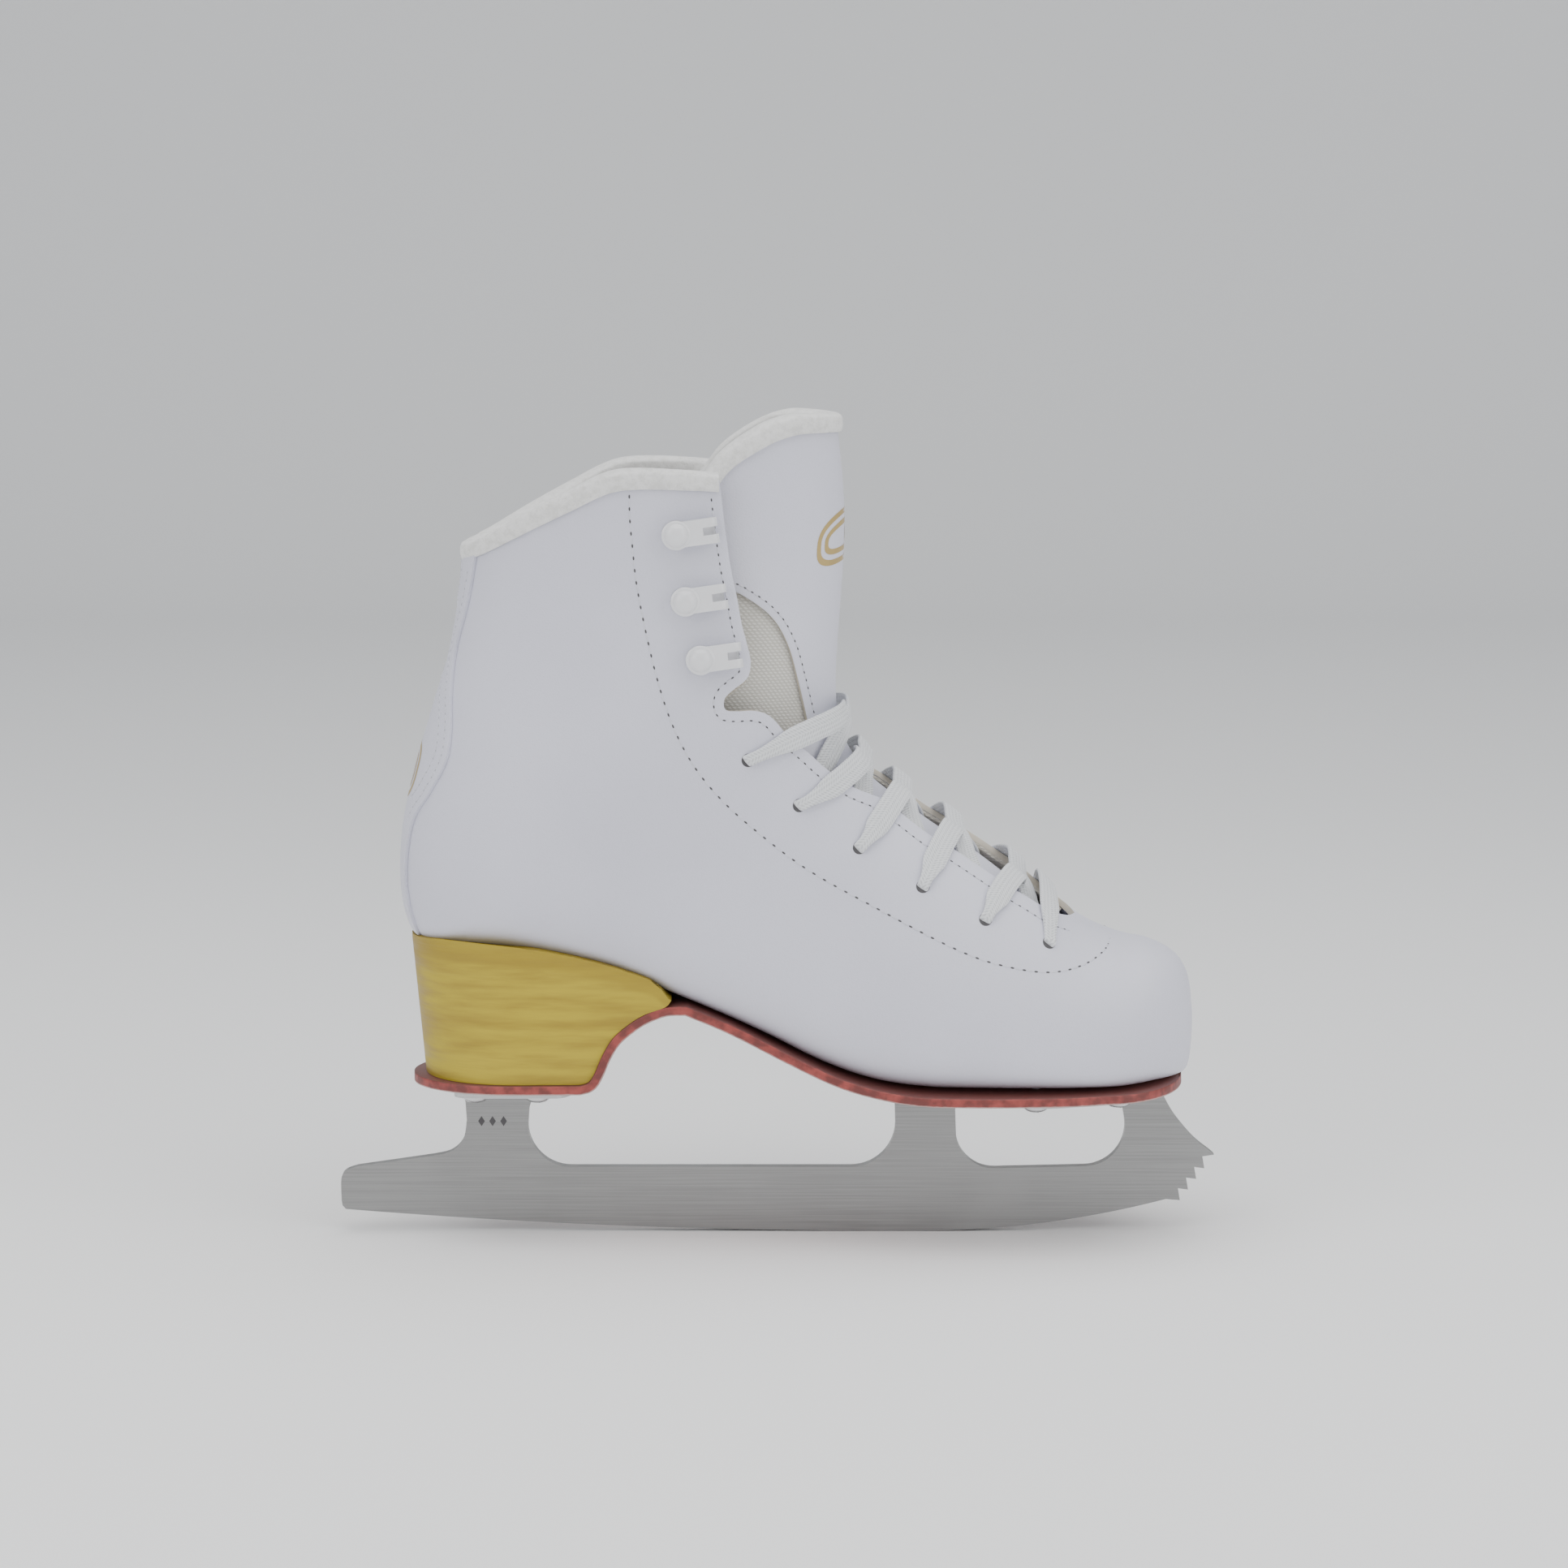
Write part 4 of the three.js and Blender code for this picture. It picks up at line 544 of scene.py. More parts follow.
@dataclass(frozen=True)
class HeelPaint:
    """Gold paint brushed over a stacked heel, with painted shade making it browner at the back, and darker
    along its top.
    """

    gold: Colour = (0.50, 0.385, 0.026)
    deep: Colour = (0.34, 0.235, 0.018)
    # painted shade colour for the rear of the heel
    back_shade_brown: Colour = (0.30, 0.20, 0.066)
    back: float = -0.119
    top: float = 0.098

    def build(self) -> bpy.types.Material:
        """Makes the material."""
        s = Shader("heel_paint")
        strokes = s.noise(34, 5, (1.0, 1.0, 9.0))
        layers = s.noise(8, 2, (0.6, 0.6, 16.0))
        tone = s.math("ADD", s.math("MULTIPLY", strokes, 0.7), s.math("MULTIPLY", layers, 0.45))
        gold = s.blend(s.ramp(tone, 0.38, 0.72), self.deep, self.gold)
        # painted shade: the heel is blended towards brown at its back, by X; the noise only roughens where it
        # starts
        back_shade_x = s.math("ADD", s.axis("X"), s.math("MULTIPLY", s.noise(60, 4), 0.012))
        back_shaded_gold = s.blend(s.ramp(back_shade_x, self.back + 0.006, self.back + 0.016, (0.75, 0.0)), gold, self.back_shade_brown)
        band = s.math("ADD", s.named("rise"), s.math("MULTIPLY", s.noise(40, 3, (1, 1, 4)), 0.06))
        colour = s.blend(s.ramp(band, 0.86, 0.93, (0.0, 0.6)), back_shaded_gold, self.deep)
        normal = s.relief(s.noise(90, 4, (1.0, 1.0, 12.0)), 0.16)
        return s.finish(colour, s.ramp(strokes, 0.3, 0.7, (0.42, 0.6)), normal, specular=0.45)


@dataclass(frozen=True)
class SoleRubber:
    """Red outsole with painted shade along its top edge, where the upper sits over it, and a pale lower edge.
    """

    red: Colour = (0.36, 0.066, 0.055)
    dark: Colour = (0.16, 0.035, 0.03)
    # painted shade colour for the top of the outsole under the upper
    shade_and_etch_dark: Colour = (0.15, 0.05, 0.042)
    pale: Colour = (0.62, 0.42, 0.39)

    def build(self) -> bpy.types.Material:
        """Makes the material; "level" runs from 0 at the underside to 1 at the top."""
        s = Shader("sole_rubber")
        mottle = s.ramp(s.noise(240, 4), 0.35, 0.7)
        ragged = s.math("MULTIPLY", s.math("SUBTRACT", s.noise(500, 2), 0.5), 0.12)
        level = s.math("ADD", s.named("level"), ragged)
        red = s.blend(mottle, self.dark, self.red)
        # painted shade: levels from 0.93 up to the top face are darkened
        top_shaded = s.blend(s.ramp(level, 0.93, 1.0), red, self.shade_and_etch_dark)
        colour = s.blend(s.ramp(level, 0.07, 0.2, (0.7, 0.0)), top_shaded, self.pale)
        return s.finish(colour, 0.5, s.relief(s.noise(700, 3), 0.05))


@dataclass(frozen=True)
class Steel:
    """Steel ground along the blade, with fine lengthwise lines."""

    name: str = "ground_steel"
    colour: Colour = (0.36, 0.36, 0.357)
    shade: Colour = (0.28, 0.28, 0.277)
    roughness: float = 0.36
    lines: float = 0.012

    def build(self) -> bpy.types.Material:
        """Makes the material."""
        s = Shader(self.name)
        ground = s.noise(40, 4, (0.5, 1.0, 60.0))
        cloud = s.noise(22, 3)
        tone = s.math("ADD", s.math("MULTIPLY", ground, 0.5), s.math("MULTIPLY", cloud, 0.5))
        return s.finish(s.blend(s.ramp(tone, 0.35, 0.65), self.shade, self.colour),
                        s.ramp(cloud, 0.35, 0.65, (self.roughness - 0.05, self.roughness + 0.08)),
                        s.relief(ground, self.lines), metallic=1.0)


@dataclass(frozen=True)
class Plain:
    """A plain finish with slight mottling and a fine texture."""

    name: str
    colour: Colour
    roughness: float = 0.5
    metallic: float = 0.0
    texture: float = 0.02
    scale: float = 900
    vary: float = 0.9
    coat: float = 0.0

    def build(self) -> bpy.types.Material:
        """Makes the material."""
        s = Shader(self.name)
        shade = tuple(c * self.vary for c in self.colour)
        colour = s.blend(s.ramp(s.noise(self.scale / 6, 3), 0.3, 0.7), self.colour, shade)
        spread = (self.roughness * 0.92, self.roughness * 1.08)
        rough = s.ramp(s.noise(self.scale / 3, 2), 0.3, 0.7, spread)
        normal = s.relief(s.noise(self.scale, 2), self.texture)
        return s.finish(colour, rough, normal, metallic=self.metallic, coat=self.coat)


# ---- the shape of the boot -------------------------------------------------------------------------

# each station: foot of the section, its crest, half widths (outer side, inner side), the share of the
# height where it is widest, squareness below and above that, sideways lean of the crest, shift of the whole
STATIONS = [
    (134.4, 61, 134.6, 77, 10, 10, 0.5, 2.2, 2.2, 0, 4),
    (133.0, 54.6, 133.2, 85.5, 16.5, 16.5, 0.45, 2.6, 2.4, 0, 3.6),
    (129, 53.2, 129, 91.6, 23.5, 23.5, 0.4, 3.4, 2.6, 0, 3),
    (121, 52.9, 121, 95.6, 31, 31, 0.34, 4, 2.7, 0, 2),
    (110, 52.4, 110, 98.2, 36.6, 37.2, 0.3, 4.5, 2.6, 0.5, 1),
    (97, 52.4, 97, 104.6, 39.6, 41.2, 0.28, 4.5, 2.4, 2, 0),
    (82, 52.3, 83, 118.6, 41.6, 42.3, 0.28, 4.5, 2.2, 4, 0),
    (66, 52.2, 67, 131.2, 42.3, 41.2, 0.3, 4.5, 2.1, 5, 0),
    (48, 52.3, 53, 140.6, 41.4, 38.6, 0.34, 4.5, 2.1, 5, 0),
    (31, 54.2, 43.5, 147.8, 38.6, 35.6, 0.38, 4.4, 2.1, 4.6, 0),
    (14, 59.6, 36.5, 153.2, 36, 33.4, 0.42, 4.2, 2.1, 4, 0),
    (-6, 69.2, 32, 158.4, 34.4, 32.4, 0.44, 4, 2.2, 3.2, 0),
    (-29, 79.2, 29, 163, 33.8, 32.4, 0.46, 4, 2.2, 2.4, 0),
    (-56, 89.4, 27, 168, 34, 33.2, 0.48, 3.8, 2.3, 1.6, 0),
    (-86, 95.3, 26, 174.4, 34.8, 34.2, 0.5, 3.4, 2.3, 0.8, 0),
    (-105.5, 96.3, 25.8, 180.4, 35.2, 34.8, 0.5, 2.9, 2.3, 0, 0),
    (-115, 98, 25.8, 185, 35.5, 35.2, 0.5, 2.6, 2.3, 0, 0),
    (-119.3, 106, 26.1, 190, 35.8, 35.5, 0.5, 2.5, 2.3, 0, 0),
    (-120.9, 119, 26.5, 196.4, 35.9, 35.7, 0.5, 2.4, 2.3, 0, 0),
    (-119.7, 136, 27.1, 204.4, 35.4, 35.3, 0.5, 2.4, 2.3, 0, 0),
    (-115.7, 153.5, 27.7, 213.4, 34.3, 34.3, 0.5, 2.4, 2.3, 0, 0),
    (-110, 173, 28.3, 223.8, 33, 33, 0.5, 2.4, 2.3, 0, 0),
    (-104.5, 191, 28.5, 234.6, 32, 32, 0.5, 2.4, 2.3, 0, 0),
    (-101.3, 209, 28, 246, 31.4, 31.4, 0.5, 2.4, 2.3, 0, 0),
    (-100, 225, 26.8, 258, 31.2, 31.2, 0.5, 2.4, 2.3, 0, 0),
    (-99.6, 244, 24.8, 275, 31.2, 31.2, 0.5, 2.4, 2.3, 0, 0),
]
FEATHER = height_line([
    (-118, 95.6), (-100, 96.4), (-80, 94.5), (-60, 90.4), (-43, 85.1), (-29, 79.2), (-15, 73.4),
    (5, 63.6), (20, 57.1), (32, 54.0), (45, 52.4), (60, 52.2), (110, 52.4), (133, 53.2)])
COLLAR = height_line([
    (-112, 221.5), (-101, 224.6), (-94, 227.6), (-79, 236), (-66, 242.8), (-55, 248.2), (-47, 249.8),
    (-30, 249.4), (-14, 248)])
TONGUE_TOP = height_line([
    (-40, 226), (-30, 238), (-20.4, 249.4), (-16, 254.6), (-9, 259.6), (0, 264.2), (8, 266.4), (14, 266.7),
    (40, 266.7)])
HOOK_EDGE: Line = [(-18.4, 250), (-17.4, 241), (-16.2, 231), (-14.6, 220), (-12.8, 211.5), (-11.3, 203)]
NOTCH_EDGE: Line = [
    (-9.6, 196.5), (-8.4, 190.5), (-9.6, 185.5), (-13.6, 182.3), (-16.6, 179.4), (-16.4, 175.8),
    (-12.6, 175.2), (-8, 175.3), (-4, 174.3), (-1, 172)]
LACE_EDGE: Line = [
    (3.3, 166.9), (10, 161), (15, 156.2), (22.8, 150.2), (33.6, 145), (40, 140.2), (48, 134.2),
    (55, 130), (66, 122.8), (74, 117.4), (80, 113.8), (86, 110), (91, 107.4), (96, 105.4)]
SEWN_LINE: Line = [
    (-46.4, 252), (-46.5, 238), (-45.6, 227), (-44.4, 215.7), (-41.8, 202), (-38, 186), (-33.3, 171.6),
    (-27, 159), (-19, 148.5), (-8, 138), (10, 124.2), (34, 111), (58, 99.2), (72, 94.4), (86, 92),
    (97, 93.2), (105, 96.6), (108, 99.6)]
STAY_EDGE: Line = [
    (-95.6, 223.5), (-98.3, 208.4), (-102.4, 193), (-103.8, 180), (-103.9, 167), (-105.5, 157.5),
    (-111, 147), (-116.2, 138.5), (-118.6, 128), (-119.2, 117), (-117.8, 107.5), (-115, 99.5), (-112, 95)]
TONGUE_LEATHER_EDGE: Line = [
    (10.4, 160), (9.9, 169), (7.8, 178.6), (6.2, 185.3), (4, 193.4), (0.8, 200.4), (-3.4, 205.6), (-9, 209.8),
    (-15, 213), (-27, 217)]
LACE_HOLES: Line = [(-9.2, 159.5), (7, 144.7), (26.1, 131), (46.3, 118.9), (66.2, 108.5), (86.6, 100.6)]
HOOK_SEATS: Line = [(-31.8, 231), (-29, 210), (-24.4, 191.6)]
INSTEP_RISE = 3.6
HEEL_BACK = -121


def raised(points: Line, side: Side) -> Line:
    """Raises an edge over the instep on the inner side of the foot."""
    if side is Side.OUTER:
        return list(points)
    return [(x, z + INSTEP_RISE * float(ease(x, -6, 24)) * (1 - float(ease(x, 74, 97)))) for x, z in points]


FRONT_EDGE: Line = smooth_line(HOOK_EDGE + NOTCH_EDGE + LACE_EDGE, 8)


@dataclass
class BootForm:
    """The outside of the boot: u runs from the toe to the collar, v once round from the sole."""

    stations: np.ndarray = field(default_factory=lambda: np.array(STATIONS, float))

    @property
    def last(self) -> int:
        """The value of u at the last station."""
        return len(self.stations) - 1

    def surface(self, u: np.ndarray, v: np.ndarray) -> np.ndarray:
        """Points of the outside of the boot.

        Args:
            u: Place between the toe and the collar.
            v: Share of a turn round the section, from the sole over the outer side.
        """
        u, v = np.broadcast_arrays(np.clip(np.asarray(u, float), 0, self.last), np.asarray(v, float))
        i = np.minimum(u.astype(int), self.last - 1)
        t = (u - i)[..., None]
        a, b, c, d = (self.stations[np.clip(i + k, 0, self.last)] for k in (-1, 0, 1, 2))
        s = t * t * (3 - 2 * t)
        p = (b * (1 - s) + c * s + (c - a) / 2 * (t ** 3 - 2 * t ** 2 + t) + (d - b) / 2 * (t ** 3 - t ** 2))
        fx, fz, cx, cz, outer, inner, widest, square, crown, lean, shift = np.moveaxis(p, -1, 0)
        turn = np.mod(v, 1)
        near = turn < 0.5
        share = np.where(near, turn * 2, (1 - turn) * 2)
        half = np.where(near, outer, inner)
        low = share < 0.5
        angle = np.where(low, share, share - 0.5) * np.pi
        cosine, sine = np.maximum(np.cos(angle), 0), np.maximum(np.sin(angle), 0)
        h = np.where(low, widest * (1 - cosine ** (2 / square)), widest + (1 - widest) * sine ** (2 / crown))
        y = np.where(low, half * sine ** (2 / square), half * cosine ** (2 / crown))
        place = np.where(near, -1, 1) * y + lean * h * h + shift
        return np.stack([fx + (cx - fx) * h, place, fz + (cz - fz) * h], axis=-1)

    def outward(self, u: np.ndarray, v: np.ndarray) -> np.ndarray:
        """Unit normals of the outside of the boot."""
        u, v = np.asarray(u, float), np.asarray(v, float)
        along = self.surface(np.minimum(u + 0.02, self.last), v) - self.surface(np.maximum(u - 0.02, 0), v)
        round_ = self.surface(u, v + 0.004) - self.surface(u, v - 0.004)
        n = np.cross(round_, along)
        return n / np.maximum(np.linalg.norm(n, axis=-1, keepdims=True), 1e-9)

    def skin(self, u: np.ndarray, v: np.ndarray, depth: np.ndarray | float) -> np.ndarray:
        """Points at a depth below the outside; the floor only moves sideways."""
        n = self.outward(u, v)
        n[..., 2] = np.maximum(n[..., 2], 0)
        return self.surface(u, v) - n * np.asarray(depth, float)[..., None]

    def seen_at(self, points: Line, side: Side, depth: float = 0.0) -> tuple[np.ndarray, np.ndarray]:
        """u and v of the points of one side that show at X, Z in the side view.

        Args:
            points: The places in the side view.
            depth: Depth of the layer that the points lie on.
        """
        us, vs = np.meshgrid(np.linspace(0, self.last, 301), np.linspace(0.02, 0.48, 93), indexing="ij")
        if side is Side.INNER:
            vs = 1 - vs
        table = self.skin(us, vs, depth)[..., [0, 2]].reshape(-1, 2)
        target = np.array(points, float)
        nearest = np.array([np.argmin(((table - q) ** 2).sum(axis=1)) for q in target])
        u, v = us.ravel()[nearest], vs.ravel()[nearest]
        for _ in range(14):
            p = self.skin(u, v, depth)[..., [0, 2]]
            pu = (self.skin(u + 1e-3, v, depth)[..., [0, 2]] - p) * 1e3
            pv = (self.skin(u, v + 1e-4, depth)[..., [0, 2]] - p) * 1e4
            miss = target - p
            det = pu[:, 0] * pv[:, 1] - pu[:, 1] * pv[:, 0]
            det = np.where(np.abs(det) < 1e-3, 1e-3, det)
            u = u + np.clip((miss[:, 0] * pv[:, 1] - miss[:, 1] * pv[:, 0]) / det, -0.5, 0.5)
            v = v + np.clip((pu[:, 0] * miss[:, 1] - pu[:, 1] * miss[:, 0]) / det, -0.02, 0.02)
            u = np.clip(u, 0, self.last)
        return u, v

    def entry(self, outline: Line, side: Side, depth: float, low: float = 0.2,
              high: float = 0.5) -> Callable[[np.ndarray], np.ndarray]:
        """Where each section first enters a side-view outline, going up one side.

        Args:
            outline: The closed outline.
            depth: Depth of the layer.
            low: Share of a turn where the search starts.
            high: Share of a turn where it ends; a section that never enters gives this.

        Returns:
            A function from u to the share of a turn.
        """
        us = np.linspace(0, self.last, 1001)
        steps = np.linspace(low, high, 241)
        p = self.skin(us[:, None], side.turn(steps)[None, :], depth)
        inside = enclosed(p[..., 0], p[..., 2], outline)
        first = np.where(inside.any(axis=1), inside.argmax(axis=1), len(steps) - 1)
        a, b = steps[np.maximum(first - 1, 0)], steps[first]
        for _ in range(12):
            middle = (a + b) / 2
            q = self.skin(us, side.turn(middle), depth)
            hit = enclosed(q[:, 0], q[:, 2], outline)
            a, b = np.where(hit, a, middle), np.where(hit, middle, b)
        found = np.where(inside.any(axis=1), b, high)
        return lambda u: np.interp(u, us, found)

    def rise_to(self, line: Callable[[np.ndarray], np.ndarray], depth: float,
                low: float = 0.45) -> Callable[[np.ndarray], np.ndarray]:
        """Where each line of constant v reaches a height line, from a share of the way up."""
        vs = np.linspace(0, 1, 721)
        a, b = np.full(vs.shape, self.last * low), np.full(vs.shape, float(self.last))
        for _ in range(26):
            middle = (a + b) / 2
            p = self.skin(middle, vs, depth)
            below = p[:, 2] < line(p[:, 0])
            a, b = np.where(below, middle, a), np.where(below, b, middle)
        return lambda v: np.interp(np.mod(v, 1), vs, a)


@dataclass
class Panel:
    """A piece of a layer of the boot between two lines of u and two lines of v."""

    form: BootForm
    depth: float
    rows: int
    columns: int
    u_low: Callable[[np.ndarray], np.ndarray]
    u_high: Callable[[np.ndarray], np.ndarray]
    v_low: Callable[[np.ndarray], np.ndarray]
    v_high: Callable[[np.ndarray], np.ndarray]
    edge: float = 0.0

    def grid(self) -> tuple[np.ndarray, np.ndarray]:
        """u and v of the panel's points."""
        s, t = np.meshgrid(np.linspace(0, 1, self.rows), np.linspace(0, 1, self.columns), indexing="ij")
        u = s * self.form.last
        v = self.v_low(u) + (self.v_high(u) - self.v_low(u)) * t
        for _ in range(16):
            low, high = self.u_low(v), self.u_high(v)
            u = 0.5 * u + 0.5 * (low + (high - low) * s)
            left, right = self.v_low(u), self.v_high(u)
            v = 0.5 * v + 0.5 * (left + (right - left) * t)
        return u, v

    def points(self) -> np.ndarray:
        """The panel's points, row by row, dropped towards its long edges where it has a rounded edge."""
        u, v = self.grid()
        depth = np.full(u.shape, self.depth)
        if self.edge:
            p = self.form.skin(u, v, depth)
            gaps = np.linalg.norm(np.diff(p, axis=1), axis=-1)
            run = np.concatenate([np.zeros((len(p), 1)), np.cumsum(gaps, axis=1)], axis=1)
            away = np.minimum(run, run[:, -1:] - run)
            share = np.clip(1 - away / self.edge, 0, 1)
            depth = depth + self.edge * (1 - np.sqrt(np.maximum(1 - share ** 2, 0)))
        return self.form.skin(u, v, depth).reshape(-1, 3)

    def build(self, name: str) -> bpy.types.Object:
        """Makes the panel as a surface without thickness."""
        return mesh_object(name, self.points(), grid_faces(self.rows, self.columns))


def throat_outline(side: Side) -> Line:
    """The open throat in front of the leather's edge."""
    edge = raised(FRONT_EDGE, side)
    return [(edge[0][0] + 1, 330), *edge, (98.2, 105.2), (99, 330)]


def merged(name: str, parts: Sequence[bpy.types.Object], weld: float = 2e-5) -> bpy.types.Object:
    """Joins surfaces into one object, welded where they meet.

    Args:
        name: The new object's name.
        parts: The surfaces; they are removed.
        weld: Welding distance in metres.
    """
    work = bmesh.new()
    for part in parts:
        work.from_mesh(part.data)
        bpy.data.objects.remove(part)
    mesh = bpy.data.meshes.new(name)
    work.to_mesh(mesh)
    work.free()
    made = linked(name, mesh)
    tidy_normals(made, weld)
    return made


def dress(made: bpy.types.Object, *materials: bpy.types.Material) -> bpy.types.Object:
    """Puts materials in an object's slots, in order."""
    made.data.materials.clear()
    for material in materials:
        made.data.materials.append(material)
    return made


# ---- sewing and print ------------------------------------------------------------------------------

@dataclass
class Seams:
    """Rows of stitches: a thread sunk in the surface and, at each end of it, a dark oval of painted shade for
    the needle hole.
    """

    form: BootForm
    pitch: float = 3.9
    thread: float = 0.34
    hole: float = 0.5
    thread_points: list = field(default_factory=list)
    thread_faces: list = field(default_factory=list)
    hole_points: list = field(default_factory=list)
    hole_faces: list = field(default_factory=list)

    def row(self, line: Line, side: Side, depth: float = 0.0) -> None:
        """Sews along a line of the side view.

        Args:
            line: The line.
            depth: Depth of the surface that is sewn.
        """
        u, v = self.form.seen_at(spaced(np.array(line, float), 1.3).tolist(), side, depth)
        self.along(self.form.skin(u, v, depth), self.form.outward(u, v))

    def along(self, places: np.ndarray, normals: np.ndarray) -> None:
        """Sews along points of the surface that have normals."""
        path = spaced(np.hstack([places, normals]), self.pitch / 6)
        count = (len(path) - 1) // 6
        for k in range(count):
            stitch = path[k * 6:k * 6 + 7]
            self._thread(stitch[1:-1])
            self._hole(stitch[0], stitch[1])

    def _thread(self, stitch: np.ndarray) -> None:
        """Adds one stitch of thread."""
        start = len(self.thread_points)
        for i, p in enumerate(stitch):
            ahead = stitch[min(i + 1, len(stitch) - 1)] - stitch[max(i - 1, 0)]
            n = p[3:] / np.linalg.norm(p[3:])
            tangent = ahead[:3] / np.linalg.norm(ahead[:3])
            across = np.cross(n, tangent)
            bow = math.sin(math.pi * i / (len(stitch) - 1))
            centre = p[:3] + n * (0.12 * bow - 0.16)
            for k in range(6):
                a = 2 * math.pi * k / 6
                self.thread_points.append(centre + self.thread * (0.55 + 0.45 * bow)
                                          * (math.cos(a) * across + math.sin(a) * n))
        self.thread_faces += grid_faces(len(stitch), 6, start, closed=True)
        self.thread_faces.append([start + k for k in range(6)][::-1])
        self.thread_faces.append([start + (len(stitch) - 1) * 6 + k for k in range(6)])

    def _hole(self, p: np.ndarray, q: np.ndarray) -> None:
        """Adds one needle hole as a small dark oval of painted shade on the surface."""
        start = len(self.hole_points)
        n = p[3:] / np.linalg.norm(p[3:])
        tangent = (q - p)[:3] / np.linalg.norm((q - p)[:3])
        across = np.cross(n, tangent)
        for k in range(8):
            a = 2 * math.pi * k / 8
            self.hole_points.append(p[:3] + n * 0.05 + tangent * math.cos(a) * self.hole * 1.35
                                    + across * math.sin(a) * self.hole * 0.62)
        self.hole_faces.append([start + k for k in range(8)])

    def build(self, name: str, white: bpy.types.Material, dark: bpy.types.Material) -> list[bpy.types.Object]:
        """Makes the threads and the holes as two objects."""
        threads = mesh_object(f"{name}_thread", np.array(self.thread_points), self.thread_faces)
        holes = mesh_object(f"{name}_needle_holes", np.array(self.hole_points), self.hole_faces)
        return [dress(threads, white), dress(holes, dark)]


@dataclass
class Crest:
    """A printed emblem with no lettering: two rounded outlines round a six-armed star."""

    form: BootForm
    width: float
    height: float
    line: float = 1.2

    def shapes(self) -> list[np.ndarray]:
        """Flat closed shapes of the emblem, as (across, up) points about its centre."""
        shapes = []
        turn = np.linspace(0, 2 * np.pi, 48, endpoint=False)
        pill = np.stack([np.sign(np.cos(turn)) * np.abs(np.cos(turn)) ** 0.7,
                         np.sign(np.sin(turn)) * np.abs(np.sin(turn)) ** 0.7], axis=1)
        for inset in (0.0, self.line * 1.9):
            band = pill * (self.width - inset, self.height - inset)
            inside = pill * (self.width - inset - self.line, self.height - inset - self.line)
            for i in range(len(band)):
                j = (i + 1) % len(band)
                shapes.append(np.array([band[i], band[j], inside[j], inside[i]]))
        for k in range(6):
            a = math.pi * k / 3 + math.pi / 6
            along = np.array([math.cos(a), math.sin(a)]) * (self.height - self.line * 3.2)
            off = np.array([-math.sin(a), math.cos(a)]) * self.line * 0.35
            shapes.append(np.array([off, along * 0.55 + off, along * 0.55 - off, -off]))
            shapes.append(np.array([along * 0.6 + off * 2.2, along, along * 0.6 - off * 2.2, along * 0.45]))
        return shapes

    def build(self, name: str, crest_v: float, centre_u: float, depth: float) -> bpy.types.Object:
        """Lays the emblem on the mid-line of the boot.

        Args:
            crest_v: 0 on the back of the boot, 0.5 on its front.
            centre_u: Where its centre lies.
            depth: Depth of the printed surface.
        """
        vs = crest_v + np.linspace(-0.22, 0.22, 441)
        us = centre_u + np.linspace(-2.6, 2.6, 261)
        ladder = self.form.skin(us, np.full(us.shape, crest_v), depth)
        up = run_along(ladder)
        up -= np.interp(centre_u, us, up)
        girth = self.form.skin(np.full(vs.shape, centre_u), vs, depth)
        across = run_along(girth)
        across -= np.interp(crest_v, vs, across)
        points, faces = [], []
        for shape in self.shapes():
            start = len(points)
            fine = []
            for a, b in zip(shape, np.roll(shape, -1, axis=0)):
                fine += [a + (b - a) * k / 3 for k in range(3)]
            fine_points = np.array(fine)
            u = np.interp(fine_points[:, 1], up, us)
            v = np.interp(fine_points[:, 0], across, vs)
            points += list(self.form.skin(u, v, depth - 0.06))
            faces.append(list(range(start, start + len(fine))))
        return mesh_object(name, np.array(points), faces)


# ---- the boot --------------------------------------------------------------------------------------

